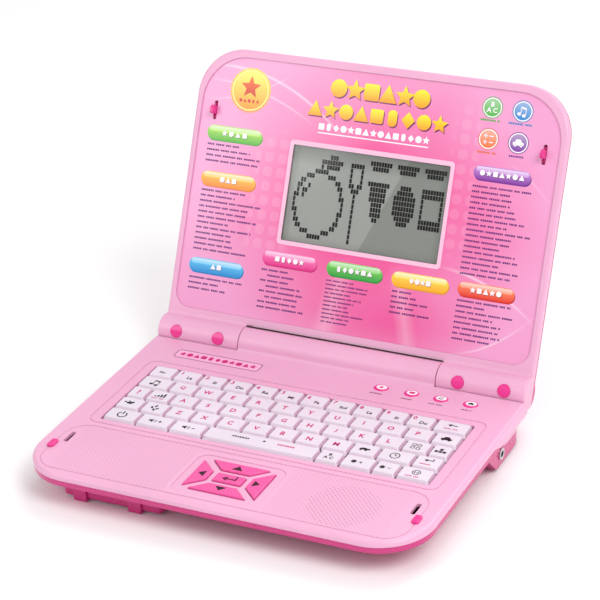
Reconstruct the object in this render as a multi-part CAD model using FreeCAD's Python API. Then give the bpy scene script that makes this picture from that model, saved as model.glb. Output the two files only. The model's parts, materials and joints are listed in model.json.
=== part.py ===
"""A child's toy laptop computer, built as the separate pieces that come apart on a bench.

The base is designed about the hinge line: x runs along it, y is measured back from it and z is
measured up from the table. The lid is designed lying flat, opened right back, with x along the hinge
line, y up the lid from the hinge line and z towards the user. place_base and place_lid carry both
into the part's own frame: +Y to the back, +Z up, the origin on the table under the middle.
"""
import FreeCAD, Part

import math
import os

from FreeCAD import Vector

os.makedirs("parts", exist_ok=True)

# ---------------------------------------------------------------- driving dimensions, mm and degrees
BASE_WIDTH = 240.0
BASE_DEPTH = 174.5          # front edge to hinge line
DECK_Z = 21.5               # top surface of the base above the table
HINGE_Z = 22.1
BARREL_R = 9.4              # hinge barrels and the hump between them
TILT = 25.2                 # how far the lid leans back at rest
WALL = 2.0

FOOT_H = 1.8                # feet stand this far below the casing
LIP_Z = 14.4                # underside of the thin front lip
SEAM_Z = 18.0               # where the two casings meet, all round the front
REAR_SEAM_Z = 10.0          # the same seam at the back half of the sides
THIN_FLOOR_Z = 11.0         # underside of the thin front half
FRONT_R = 31.0              # plan radius of the front corners
REAR_R = 20.0
DECK_ROUND = 2.6            # rounding of the deck's outer edge

KEYBOARD_FRONT = -111.0     # front edge of the keys
KEYBOARD_LEFT = -99.5
KEYBOARD_WIDTH = 201.5
ROW_DEPTH = 13.3
KEY_GAP = 0.7
KEY_TOP_Z = 22.5
KEY_TRAVEL = 1.2

LID_HALF = 118.5
LID_REACH = 174.1           # hinge line to the lid's top edge
LID_CORNER_R = 29.0
RIM_Z = -0.4                # raised rim round the lid's printed face
LABEL_Z = -1.4              # the printed face
LID_SEAM_Z = -4.9
LID_EDGE_ROUND = 3.5
SCREEN_BOTTOM = 64.3        # lower edge of the screen window, up from the hinge line
SCREEN_HALF = 50.4
SCREEN_HEIGHT = 57.5

BARREL_IN = 64.2            # inner and outer ends of each lid barrel
BARREL_OUT = LID_HALF
HUMP_HALF = 63.6
BARREL_ROOM = 0.6           # clearance between a barrel and its trough

LATCH_X = 105.5
LATCH_REACH = 135.7         # hinge line to the middle of each latch slot
DPAD_Y = KEYBOARD_FRONT - 33.8

AXLE_R = 2.5
AXLE_OUT = 72.0
SCREW_CAP_X = (77.5, 105.8)
SCREW_CAP_R = 3.9

# ---------------------------------------------------------------- worked out from the above
DECK_UNDER_Z = DECK_Z - WALL
THIN_INSIDE_Z = THIN_FLOOR_Z + 1.8
BOX_INSIDE_Z = FOOT_H + 1.8
LABEL_BED_Z = LABEL_Z - 0.5
LID_PLATE_Z = LABEL_BED_Z - 1.5
LID_BACK_Z = -BARREL_R
LID_INSIDE_Z = LID_BACK_Z + WALL
SCREEN_TOP = SCREEN_BOTTOM + SCREEN_HEIGHT
REAR_REACH = ((LID_REACH - LID_EDGE_ROUND) * math.sin(math.radians(TILT))
              + (BARREL_R - LID_EDGE_ROUND) * math.cos(math.radians(TILT)) + LID_EDGE_ROUND)
HINGE_Y = (BASE_DEPTH - REAR_REACH) / 2

# battery compartment, left of the middle at the front of the base
CELL_R = 7.1
CELL_PITCH = 14.5
BATTERY_X = (-93.5, -36.5)
BATTERY_Y = (-160.2, -116.7)

REAR_BLOCK_FRONT = -66.0    # top and bottom of the rear block's sloping front
REAR_BLOCK_FOOT = -53.0
REAR_BLOCK_HALF = 118.5
REAR_BLOCK_BACK = -6.6      # beside the hump the base stops here, under the front of the barrels
FOOT_TOWER = (76.0, 100.0, -134.0, -110.0)

JACK_Y = -46.5
JACK_Z = 8.6
JACK_BORE_R = 1.8

CASING_SCREWS = [(-104, -121, THIN_FLOOR_Z), (104, -121, THIN_FLOOR_Z), (-29.5, -158, THIN_FLOOR_Z),
                 (32, -158, THIN_FLOOR_Z), (-104, -30, FOOT_H), (98, -30, FOOT_H)]
LID_SCREWS = [(-96, 163), (96, 163), (-109, 26), (109, 26)]


# ---------------------------------------------------------------- shape helpers
def rounded_wire(x0, x1, y0, y1, radii, z=0.0):
    """Closed rectangle with rounded corners; radii run front left, front right, back right, back left."""
    if not isinstance(radii, (list, tuple)):
        radii = [radii] * 4
    corners = [(x0, y0, 1, 1, 180), (x1, y0, -1, 1, 270), (x1, y1, -1, -1, 0), (x0, y1, 1, -1, 90)]
    arcs = []
    for (cx, cy, sx, sy, start), radius in zip(corners, radii):
        centre = Vector(cx + sx * radius, cy + sy * radius, z)
        angles = [math.radians(start + turn) for turn in (0, 45, 90)]
        arcs.append([centre + Vector(math.cos(a) * radius, math.sin(a) * radius, 0) for a in angles])
    edges = []
    for index, arc in enumerate(arcs):
        if radii[index] > 0:
            edges.append(Part.Arc(*arc).toShape())
        edges.append(Part.makeLine(arc[2], arcs[(index + 1) % 4][0]))
    return Part.Wire(edges)


def prism(wire, height):
    return Part.Face(wire).extrude(Vector(0, 0, height))


def block(x0, x1, y0, y1, z0, z1, radii=0.0):
    """Upright block, with its vertical edges rounded if radii are given."""
    return prism(rounded_wire(x0, x1, y0, y1, radii, z0), z1 - z0)


def polygon_prism(points, z0, z1):
    wire = Part.makePolygon([Vector(x, y, z0) for x, y in points + points[:1]])
    return prism(wire, z1 - z0)


def rod(radius, start, end):
    """Round bar from one point to another."""
    start = Vector(*start)
    along = Vector(*end) - start
    return Part.makeCylinder(radius, along.Length, start, along)


def x_rod(radius, x0, x1, y=0.0, z=0.0):
    return rod(radius, (x0, y, z), (x1, y, z))


def joined(shapes):
    whole = shapes[0]
    for shape in shapes[1:]:
        whole = whole.fuse(shape)
    return whole.removeSplitter()


def mirrored(shape):
    return shape.mirror(Vector(0, 0, 0), Vector(1, 0, 0))


def both_sides(shape):
    return [shape, mirrored(shape)]


def flat_edges(shape, z):
    """Edges that lie in the level plane at z."""
    return [e for e in shape.Edges if abs(e.BoundBox.ZMin - z) < 1e-4 and abs(e.BoundBox.ZMax - z) < 1e-4]


def edges_along_x(shape, y, z, tolerance=0.05):
    """Straight edges parallel to x that pass through y, z."""
    found = []
    for edge in shape.Edges:
        box = edge.BoundBox
        if box.XLength > 1 and box.YLength < 1e-3 and box.ZLength < 1e-3:
            if abs(box.YMin - y) < tolerance and abs(box.ZMin - z) < tolerance:
                found.append(edge)
    return found


def rounded_top(shape, z, radius):
    return shape.makeFillet(radius, flat_edges(shape, z))


def place_base(shape):
    placed = shape.copy()
    placed.translate(Vector(0, HINGE_Y, 0))
    return placed


def place_lid(shape):
    placed = shape.copy()
    placed.rotate(Vector(0, 0, 0), Vector(1, 0, 0), 90 - TILT)
    placed.translate(Vector(0, HINGE_Y, HINGE_Z))
    return placed


def save(node, shapes, place):
    """Writes one node: one solid, or a group of like solids."""
    if not isinstance(shapes, (list, tuple)):
        shapes = [shapes]
    solids = [solid for shape in shapes for solid in shape.Solids]
    whole = solids[0] if len(solids) == 1 else Part.makeCompound(solids)
    placed = place(whole)
    placed.exportStep("parts/" + node + ".step")
    print(f"{node:24s} {len(solids):3d} solids  {placed.Volume / 1000:8.2f} cm3  valid {placed.isValid()}")


# ---------------------------------------------------------------- the base's two casings
def base_outline(inset, z):
    radii = [FRONT_R - inset] * 2 + [REAR_R - inset] * 2
    half = BASE_WIDTH / 2 - inset
    return rounded_wire(-half, half, -BASE_DEPTH + inset, BARREL_R - inset, radii, z)


def sloped_block(half, top_front, foot_front, back, z0, z1, corner):
    """The rear block, whose front face slopes back towards its foot."""
    body = block(-half, half, top_front, back, z0, z1, [1, 1, corner, corner])
    wedge = Part.makePolygon([Vector(-half - 5, top_front - 5, LIP_Z), Vector(-half - 5, top_front, LIP_Z),
                              Vector(-half - 5, foot_front, z0), Vector(-half - 5, foot_front, z0 - 5),
                              Vector(-half - 5, top_front - 5, z0 - 5), Vector(-half - 5, top_front - 5, LIP_Z)])
    return body.cut(Part.Face(wedge).extrude(Vector(2 * half + 10, 0, 0)))


def base_outside():
    slab = rounded_top(prism(base_outline(0, LIP_Z), DECK_Z - LIP_Z), DECK_Z, DECK_ROUND)
    belly = Part.makeLoft([base_outline(0.8, LIP_Z), base_outline(9.0, THIN_FLOOR_Z)], True, True)
    rear = sloped_block(REAR_BLOCK_HALF, REAR_BLOCK_FRONT, REAR_BLOCK_FOOT, REAR_BLOCK_BACK,
                        FOOT_H, LIP_Z + 1, REAR_R - 1.5)
    hump_base = block(-HUMP_HALF, HUMP_HALF, REAR_BLOCK_FOOT, BARREL_R, FOOT_H, LIP_Z + 1)
    battery_box = block(BATTERY_X[0] - 2.5, BATTERY_X[1] + 2.5, BATTERY_Y[0] - 1.8, REAR_BLOCK_FOOT,
                        FOOT_H, LIP_Z, 3)
    tower = block(*FOOT_TOWER, FOOT_H, LIP_Z, 5)
    hump = x_rod(BARREL_R, -HUMP_HALF, HUMP_HALF, 0, HINGE_Z)
    hump_foot = block(-HUMP_HALF, HUMP_HALF, 0, BARREL_R, REAR_SEAM_Z, HINGE_Z)
    beside_hump = block(HUMP_HALF, BASE_WIDTH, REAR_BLOCK_BACK, 60, -5, 60)
    slab = slab.cut(both_sides(beside_hump))
    belly = belly.cut(both_sides(beside_hump))
    body = joined([slab, belly, rear, hump_base, battery_box, tower, hump, hump_foot])
    return body.makeFillet(2.2, edges_along_x(body, -BARREL_R, DECK_Z))


def base_inside():
    upper = prism(base_outline(2.2, LIP_Z + 0.8), DECK_UNDER_Z - LIP_Z - 0.8)
    lower = prism(base_outline(10.5, THIN_INSIDE_Z), DECK_UNDER_Z - THIN_INSIDE_Z)
    rear = sloped_block(REAR_BLOCK_HALF - WALL, REAR_BLOCK_FRONT + 3, REAR_BLOCK_FOOT + 3,
                        BARREL_R - WALL, BOX_INSIDE_Z, DECK_UNDER_Z, REAR_R - 3.5)
    rear_side = sloped_block(REAR_BLOCK_HALF - WALL, REAR_BLOCK_FRONT + 3, REAR_BLOCK_FOOT + 3,
                             REAR_BLOCK_BACK - WALL, BOX_INSIDE_Z, DECK_UNDER_Z, REAR_R - 3.5)
    centre = block(-HUMP_HALF + WALL, HUMP_HALF - WALL, -BASE_DEPTH, 60, -5, 60)
    rear = rear_side.fuse(rear.common(centre))
    tray = block(BATTERY_X[0], BATTERY_X[1], BATTERY_Y[1] + 3, REAR_BLOCK_FOOT + 5,
                 BOX_INSIDE_Z, DECK_UNDER_Z)
    x0, x1, y0, y1 = FOOT_TOWER
    tower = block(x0 + WALL, x1 - WALL, y0 + WALL, y1 - WALL, BOX_INSIDE_Z, DECK_UNDER_Z, 3)
    hump = x_rod(BARREL_R - WALL, -HUMP_HALF + WALL, HUMP_HALF - WALL, 0, HINGE_Z)
    hump_foot = block(-HUMP_HALF + WALL, HUMP_HALF - WALL, -BARREL_R + WALL, BARREL_R - WALL,
                      BOX_INSIDE_Z + 2, HINGE_Z)
    cavity = joined([upper, lower, rear, tray, tower, hump, hump_foot])
    battery_walls = block(BATTERY_X[0] - 1.5, BATTERY_X[1] + 1.5, BATTERY_Y[0] - 1.5, BATTERY_Y[1] + 1.5,
                          FOOT_H, DECK_UNDER_Z)
    trough_wall = x_rod(BARREL_R + BARREL_ROOM + WALL, HUMP_HALF - WALL, BASE_WIDTH, 0, HINGE_Z)
    side_walls = block(HUMP_HALF - WALL, BASE_WIDTH, REAR_BLOCK_BACK - WALL, 60, -5, 60)
    return cavity.cut([battery_walls] + both_sides(trough_wall) + both_sides(side_walls))


def upper_region():
    """Everything above the seam between the casings: level at the front, then a smooth dip to the back."""
    x = -BASE_WIDTH
    dip = [Vector(x, -62, SEAM_Z), Vector(x, -52, SEAM_Z), Vector(x, -46, REAR_SEAM_Z),
           Vector(x, -34, REAR_SEAM_Z)]
    curve = Part.BezierCurve()
    curve.setPoles(dip)
    corners = [dip[3], Vector(x, 40, REAR_SEAM_Z), Vector(x, 40, 60), Vector(x, -BASE_DEPTH - 20, 60),
               Vector(x, -BASE_DEPTH - 20, SEAM_Z), dip[0]]
    lines = [Part.makeLine(a, b) for a, b in zip(corners, corners[1:])]
    return Part.Face(Part.Wire([curve.toShape()] + lines)).extrude(Vector(2 * BASE_WIDTH, 0, 0))


def screw_boss_hole(x, y, floor):
    """Clearance hole and head recess of a casing screw, from below."""
    return rod(2.7, (x, y, floor - 1), (x, y, floor + 1.0)).fuse(rod(1.4, (x, y, floor), (x, y, floor + 4)))


def base_casings():
    trough = x_rod(BARREL_R + BARREL_ROOM, HUMP_HALF, BASE_WIDTH, 0, HINGE_Z)
    shell = base_outside().cut([base_inside()] + both_sides(trough))
    region = upper_region()
    top = shell.common(region)
    bottom = shell.cut(region).common(prism(base_outline(0.35, 0), DECK_Z))

    bosses = [rod(3.0, (x, y, floor + 1.8), (x, y, DECK_UNDER_Z)) for x, y, floor in CASING_SCREWS]
    top = joined([top] + bosses)
    slot = block(LATCH_X - 1.4, LATCH_X + 1.4, -LATCH_REACH - 5.5, -LATCH_REACH + 5.5, 15, 30, 1.0)
    cutters = [rod(1.1, (x, y, floor), (x, y, DECK_UNDER_Z - 1.5)) for x, y, floor in CASING_SCREWS]
    cutters += both_sides(slot) + both_sides(x_rod(AXLE_R, 40, 90, 0, HINGE_Z))
    cutters += [keyboard_opening(), jack_hole()] + deck_grooves() + dpad_openings()
    top = top.cut(cutters).removeSplitter()

    door_rebate = block(BATTERY_X[0] - 0.8, BATTERY_X[1] + 0.8, BATTERY_Y[0] - 0.5, BATTERY_Y[1] + 0.5,
                        FOOT_H - 1, FOOT_H + 1.5, 1)
    compartment = block(*BATTERY_X, *BATTERY_Y, FOOT_H, DECK_UNDER_Z - 1.2)
    tongue_rebate = rod(4.3, DOOR_SCREW + (FOOT_H - 1,), DOOR_SCREW + (FOOT_H + 1.5,))
    tongue_rebate = tongue_rebate.fuse(block(DOOR_SCREW[0] - 4.3, DOOR_SCREW[0] + 4.3, BATTERY_Y[1],
                                             DOOR_SCREW[1], FOOT_H - 1, FOOT_H + 1.5))
    door_post = battery_door_post()
    bottom = bottom.cut([door_rebate, tongue_rebate, compartment, jack_hole()]
                        + [screw_boss_hole(*screw) for screw in CASING_SCREWS])
    posts = [rod(2.2, (x, y, BOX_INSIDE_Z - 0.3), (x, y, MAIN_BOARD_Z)) for x, y in MAIN_BOARD_POSTS]
    bottom = joined([bottom, door_post] + posts)
    bottom = bottom.cut([rod(1.0, DOOR_SCREW + (FOOT_H,), DOOR_SCREW + (11,))])
    return top, bottom


def keyboard_opening():
    x0 = KEYBOARD_LEFT - 0.6
    x1 = KEYBOARD_LEFT + KEYBOARD_WIDTH + 0.6
    y0 = KEYBOARD_FRONT - 0.6
    return block(x0, x1, y0, y0 + 5 * ROW_DEPTH + 1.2, DECK_UNDER_Z - 1, DECK_Z + 5, 1.5)


def ring_groove(x0, x1, y0, y1, radius, width, depth):
    outer = block(x0, x1, y0, y1, DECK_Z - depth, DECK_Z + 2, radius)
    inner = block(x0 + width, x1 - width, y0 + width, y1 - width, DECK_Z - depth, DECK_Z + 2, radius - width)
    return outer.cut(inner)


def deck_grooves():
    """Shallow line round the keyboard, line round the palm rest, and the pocket round the arrow keys."""
    keys = ring_groove(KEYBOARD_LEFT - 7, KEYBOARD_LEFT + KEYBOARD_WIDTH + 7, KEYBOARD_FRONT - 5,
                       KEYBOARD_FRONT + 5 * ROW_DEPTH + 6, 6, 0.8, 0.4)
    palm = ring_groove(-111, 111, KEYBOARD_FRONT - 58, KEYBOARD_FRONT - 8.5, 14, 0.7, 0.3)
    pocket = block(-27, 27, DPAD_Y - 21, DPAD_Y + 20, DECK_Z - 0.45, DECK_Z + 2, 7)
    return [keys, palm, pocket]


# ---------------------------------------------------------------- keys
KEY_ROWS = [
    [("power_key", 21.0), ("volume_up_key", 21.3), ("volume_down_key", 21.2), ("space_key", 69.6),
     ("alphabet_key", 14.8), ("contrast_up_key", 19.3), ("contrast_down_key", 14.4),
     ("language_key", 19.9)],
    [("bird_key", 16.2), ("brush_key", 16.0)] + [("bottom_letter_keys", 16.45)] * 7
    + [("turtle_key", 16.45), ("clock_key", 21.0), ("enter_key", 16.7)],
    [("help_key", 12.5), ("level_key", 15.6)] + [("home_letter_keys", 16.1)] * 9
    + [("puzzle_key", 16.0), ("blocks_key", 12.5)],
    [("music_key", 20.5)] + [("top_letter_keys", 16.45)] * 10 + [("car_key", 16.5)],
    [("escape_key", 16.0)] + [("number_keys", 16.45)] * 10 + [("back_key", 21.0)],
]


def key_layout():
    """(node, centre x, centre y, width) of every keyboard key, front row first."""
    layout = []
    for row, keys in enumerate(KEY_ROWS):
        x = KEYBOARD_LEFT
        for node, width in keys:
            layout.append((node, x + width / 2, KEYBOARD_FRONT + (row + 0.5) * ROW_DEPTH, width))
            x += width
    return layout


def key_cap(x, y, width):
    """Tapered cap with a stem below that slides in the key frame."""
    half = (width - KEY_GAP) / 2
    deep = (ROW_DEPTH - KEY_GAP) / 2
    skirt = rounded_wire(x - half, x + half, y - deep, y + deep, 1.0, DECK_UNDER_Z + 0.4)
    brow = rounded_wire(x - half + 0.8, x + half - 0.8, y - deep + 1.4, y + deep - 0.6, 1.0, KEY_TOP_Z - 0.3)
    crown = rounded_wire(x - half + 1.1, x + half - 1.1, y - deep + 1.7, y + deep - 0.9, 0.9, KEY_TOP_Z)
    cap = Part.makeLoft([skirt, brow], True, True).fuse(Part.makeLoft([brow, crown], True, True))
    stem = block(x - 2.5, x + 2.5, y - 2.5, y + 2.5, KEY_STEM_Z, DECK_UNDER_Z + 1.0, 0.4)
    return cap.fuse(stem)


KEY_STEM_Z = 16.7
FRAME_Z = (17.3, 18.4)
MEMBRANE_Z = (THIN_INSIDE_Z, 15.2)


def key_frame():
    """Plate behind the key opening, with a raised border and a guide hole for every stem."""
    x0 = KEYBOARD_LEFT - 4
    x1 = KEYBOARD_LEFT + KEYBOARD_WIDTH + 4
    y0 = KEYBOARD_FRONT - 4
    y1 = KEYBOARD_FRONT + 5 * ROW_DEPTH + 4
    frame = block(x0, x1, y0, y1, FRAME_Z[0], DECK_UNDER_Z, 2)
    well = block(x0 + 3, x1 - 3, y0 + 3, y1 - 3, FRAME_Z[1], DECK_UNDER_Z + 1, 1)
    holes = [block(x - 2.8, x + 2.8, y - 2.8, y + 2.8, FRAME_Z[0] - 1, FRAME_Z[1] + 1)
             for _, x, y, _ in key_layout()]
    return frame.cut([well] + holes)


def key_membranes():
    """Rubber contact sheets under the keyboard and under the arrow keys."""
    keys = block(KEYBOARD_LEFT - 2, KEYBOARD_LEFT + KEYBOARD_WIDTH + 2, KEYBOARD_FRONT - 1,
                 KEYBOARD_FRONT + 5 * ROW_DEPTH + 1, *MEMBRANE_Z, 2)
    arrows = block(-24, 24, DPAD_Y - 17, DPAD_Y + 17, *MEMBRANE_Z, 3)
    return [keys, arrows]


# arrow pad: four trapezoid keys round a centre key
DPAD_HALF_X = 21.7
DPAD_HALF_Y = 15.5
DPAD_CENTRE = (8.5, 4.0)
DPAD_TOP_Z = 22.2


def dpad_outlines():
    """Plan outline of each arrow key, about the middle of the pad."""
    up = [(-17.0, DPAD_HALF_Y), (-8.5, 7.4), (8.5, 7.4), (17.0, DPAD_HALF_Y)]
    left = [(-DPAD_HALF_X, -13.5), (-12.2, -4.6), (-12.2, 4.6), (-DPAD_HALF_X, 13.5)]
    centre_x, centre_y = DPAD_CENTRE
    centre = [(-centre_x, -centre_y), (centre_x, -centre_y), (centre_x, centre_y), (-centre_x, centre_y)]
    return {"up_key": up, "down_key": [(x, -y) for x, y in reversed(up)],
            "left_key": left, "right_key": [(-x, y) for x, y in reversed(left)], "centre_key": centre}


def grown(points, by):
    """Outline grown evenly by offsetting its wire."""
    wire = Part.makePolygon([Vector(x, y, 0) for x, y in points + points[:1]])
    return wire.makeOffset2D(by) if by else wire


def dpad_prism(points, by, z0, z1):
    body = Part.Face(grown(points, by)).extrude(Vector(0, 0, z1 - z0))
    body.translate(Vector(0, DPAD_Y, z0))
    return body


def dpad_openings():
    return [dpad_prism(points, 0.35, DECK_UNDER_Z - 1, DECK_Z + 2) for points in dpad_outlines().values()]


def dpad_key(points):
    button = rounded_top(dpad_prism(points, 0, 18.8, DPAD_TOP_Z), DPAD_TOP_Z, 0.5)
    flange = dpad_prism(points, 0.6, 18.0, 19.1)
    middle_x = sum(x for x, _ in points) / 4
    middle_y = sum(y for _, y in points) / 4 + DPAD_Y
    stem = block(middle_x - 2, middle_x + 2, middle_y - 2, middle_y + 2, KEY_STEM_Z, 18.5)
    return joined([button, flange, stem])


# ---------------------------------------------------------------- inside the base
DOOR_SCREW = (-65.0, -109.0)
MAIN_BOARD_Z = 7.6
MAIN_BOARD = (-60.0, 84.0, -50.0, -12.0)
MAIN_BOARD_POSTS = [(-56, -46), (80, -46), (-56, -16), (80, -16)]
SPEAKER = (66.0, -142.0)


def battery_door_post():
    """Post beside the battery compartment that takes the door's screw."""
    x, y = DOOR_SCREW
    return rod(3.0, (x, y, FOOT_H + 1.5), (x, y, 12.0))


def battery_door():
    plate = block(BATTERY_X[0] - 0.6, BATTERY_X[1] + 0.6, BATTERY_Y[0] - 0.3, BATTERY_Y[1] + 0.3,
                  FOOT_H, FOOT_H + 1.4, 1)
    x, y = DOOR_SCREW
    tongue = rod(4.0, (x, y, FOOT_H), (x, y, FOOT_H + 1.4))
    tongue = tongue.fuse(block(x - 4, x + 4, BATTERY_Y[1] - 1, y, FOOT_H, FOOT_H + 1.4))
    grips = [block(-80 + 5 * i, -78 + 5 * i, -150, -138, FOOT_H - 1, FOOT_H + 0.4, 0.9) for i in range(6)]
    return plate.fuse(tongue).cut(grips + [rod(1.3, (x, y, 0), (x, y, 5))])


def cross_head_screw(x, y, z, head_r, head_h, shank_r, length):
    """Screw driven upwards: its head's face is at z and carries a cross recess."""
    head = rod(head_r, (x, y, z), (x, y, z + head_h))
    shank = rod(shank_r, (x, y, z), (x, y, z + length))
    arm = head_r * 0.62
    depth = head_h * 0.5
    recess = block(x - arm, x + arm, y - 0.25, y + 0.25, z - 1, z + depth)
    recess = recess.fuse(block(x - 0.25, x + 0.25, y - arm, y + arm, z - 1, z + depth))
    return head.fuse(shank).cut(recess)


def batteries():
    """Three AA cells side by side, the middle one turned round."""
    cells = []
    z = BOX_INSIDE_Z + CELL_R
    for index in range(3):
        y = (BATTERY_Y[0] + BATTERY_Y[1]) / 2 + (index - 1) * CELL_PITCH
        cell = x_rod(CELL_R, -90.3, -40.8, y, z).fuse(x_rod(2.7, -41, -39.5, y, z))
        if index == 1:
            cell.rotate(Vector(sum(BATTERY_X) / 2, y, z), Vector(0, 0, 1), 180)
        cells.append(cell)
    return cells


def battery_contacts():
    """A flat plate and a coiled end for every cell."""
    contacts = []
    z = BOX_INSIDE_Z + CELL_R
    middle = sum(BATTERY_X) / 2
    for index in range(3):
        y = (BATTERY_Y[0] + BATTERY_Y[1]) / 2 + (index - 1) * CELL_PITCH
        plate = block(BATTERY_X[0], BATTERY_X[0] + 0.5, y - 5, y + 5, z - 5, z + 5)
        spring = Part.makeCone(4.0, 2.5, 2.7, Vector(BATTERY_X[0] + 0.5, y, z), Vector(1, 0, 0))
        negative = plate.fuse(spring)
        positive = plate.fuse(Part.makeCone(3.0, 2.0, 2.5, Vector(BATTERY_X[0] + 0.5, y, z), Vector(1, 0, 0)))
        positive = positive.mirror(Vector(middle, 0, 0), Vector(1, 0, 0))
        pair = Part.makeCompound([negative, positive])
        if index == 1:
            pair = pair.mirror(Vector(middle, 0, 0), Vector(1, 0, 0))
        contacts += pair.Solids
    return contacts


def main_board():
    """Circuit board with the blob-covered processor and its larger parts."""
    x0, x1, y0, y1 = MAIN_BOARD
    top = MAIN_BOARD_Z + 1.6
    board = block(x0, x1, y0, y1, MAIN_BOARD_Z, top, 2)
    chips = [block(0, 16, -38, -22, top - 0.1, top + 1.6), block(-36, -22, -44, -34, top - 0.1, top + 1.4),
             rod(4.0, (50, -30, top - 0.1), (50, -30, top + 5)), rod(3.0, (66, -22, top - 0.1), (66, -22, top + 4)),
             block(-48, -40, -30, -22, top - 0.1, top + 3)]
    return joined([board] + chips)


def speaker():
    x, y = SPEAKER
    rim = rod(18.0, (x, y, 17.6), (x, y, DECK_UNDER_Z))
    dish = Part.makeCone(15.0, 4.5, 1.4, Vector(x, y, DECK_UNDER_Z), Vector(0, 0, -1))
    basket = Part.makeCone(9.0, 16.5, 1.4, Vector(x, y, 16.4), Vector(0, 0, 1))
    magnet = rod(8.5, (x, y, THIN_INSIDE_Z + 0.3), (x, y, 16.6))
    return joined([rim.cut(dish), basket, magnet])


def jack_hole():
    return x_rod(3.6, BASE_WIDTH / 2 - 9, BASE_WIDTH / 2 + 5, JACK_Y, JACK_Z)


def side_jack():
    """Round socket in the right-hand side, a plain collar with a clear bore."""
    collar = x_rod(3.5, 112, BASE_WIDTH / 2 - 0.6, JACK_Y, JACK_Z)
    body = block(104, 116.4, JACK_Y - 4.2, JACK_Y + 5, JACK_Z - 4, JACK_Z + 5)
    return joined([collar, body]).cut(x_rod(JACK_BORE_R, 106.4, BASE_WIDTH, JACK_Y, JACK_Z))


def hinge_axles():
    """Steel pins in the ends of the hump, each cast into a foot that stands on the floor."""
    pin = x_rod(AXLE_R, 50, AXLE_OUT, 0, HINGE_Z)
    knuckle = x_rod(5.0, 50, 60, 0, HINGE_Z)
    leg = block(50, 60, -4, 4, BOX_INSIDE_Z, HINGE_Z)
    return both_sides(joined([pin, knuckle, leg]))


def feet():
    """Two stepped feet at the front of the battery box, and three round ones."""
    pads = []
    front = BATTERY_Y[0] - 1.8
    for x in (-84.5, -50.0):
        pad = block(x - 4, x + 4, front - 1.5, front + 3.5, 0, FOOT_H)
        strip = block(x - 4, x + 4, front - 1.5, front, 0, 10)
        pads.append(pad.fuse(strip).removeSplitter())
    for x, y in ((88, -122), (-98, -16), (98, -16)):
        pads.append(rod(6.5, (x, y, 0), (x, y, FOOT_H)))
    return pads


def lid_stops():
    """Small raised pegs on the deck that the closed lid rests on."""
    peg = block(108.4, 112.4, -LATCH_REACH - 14, -LATCH_REACH - 6.5, DECK_Z, DECK_Z + 1.4, 1.2)
    return both_sides(rounded_top(peg, DECK_Z + 1.4, 0.5))


# ---------------------------------------------------------------- the lid, flat, about the hinge line
def lid_outline(inset, z, low):
    half = LID_HALF - inset
    corner = LID_CORNER_R - inset
    return rounded_wire(-half, half, low, LID_REACH - inset, [0, 0, corner, corner], z)


def barrel_blend():
    """Fillet between a barrel and the lid's face, touching both smoothly."""
    radius = 2.0
    z = RIM_Z + radius
    y = math.sqrt((BARREL_R + radius) ** 2 - z ** 2)
    share = BARREL_R / (BARREL_R + radius)
    wedge = block(BARREL_IN, BARREL_OUT - 0.6, y * share - 0.5, y, RIM_Z - 0.2, z * share)
    return wedge.cut(x_rod(radius, 0, 200, y, z))


def lid_outside():
    plate = prism(lid_outline(0, LID_BACK_Z, 0), RIM_Z - LID_BACK_Z)
    plate = plate.cut(block(-BARREL_IN, BARREL_IN, -1, BARREL_R + 1.0, LID_BACK_Z - 1, 5))
    back_edges = [e for e in flat_edges(plate, LID_BACK_Z) if e.BoundBox.YMax > BARREL_R + 5]
    rim_edges = [e for e in flat_edges(plate, RIM_Z) if e.BoundBox.YMax > BARREL_R + 5]
    plate = plate.makeFillet(LID_EDGE_ROUND, back_edges).makeFillet(1.5, rim_edges)
    barrel = x_rod(BARREL_R, BARREL_IN, BARREL_OUT)
    barrel = barrel.makeFillet(1.0, [e for e in barrel.Edges if e.BoundBox.XMin > BARREL_OUT - 0.01])
    return joined([plate] + both_sides(barrel) + both_sides(barrel_blend()))


def lid_inside():
    plate = prism(lid_outline(WALL, LID_INSIDE_Z, BARREL_R + 3), LID_PLATE_Z - LID_INSIDE_Z)
    barrel = x_rod(BARREL_R - WALL, BARREL_IN + WALL, BARREL_OUT - WALL)
    link = block(BARREL_IN + 9, BARREL_OUT - WALL - 2, 0, BARREL_R + 4, LID_INSIDE_Z, LID_PLATE_Z)
    return joined([plate] + both_sides(barrel) + both_sides(link))


def label_outline(inset, z):
    radii = [10 - inset, 10 - inset, 28 - inset, 28 - inset]
    return rounded_wire(-114.7 + inset, 114.7 - inset, 14.8 + inset, 169.3 - inset, radii, z)


def screen_block(grow, z0, z1):
    return block(-SCREEN_HALF - grow, SCREEN_HALF + grow, SCREEN_BOTTOM - grow, SCREEN_TOP + grow, z0, z1, 1)


def hook_slot():
    return block(LATCH_X - 1.3, LATCH_X + 1.3, LATCH_REACH - 5.8, LATCH_REACH + 5.8, -5, 5, 1.2)


def cap_sites():
    return [(side * x, 0) for side in (-1, 1) for x in SCREW_CAP_X]


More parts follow.
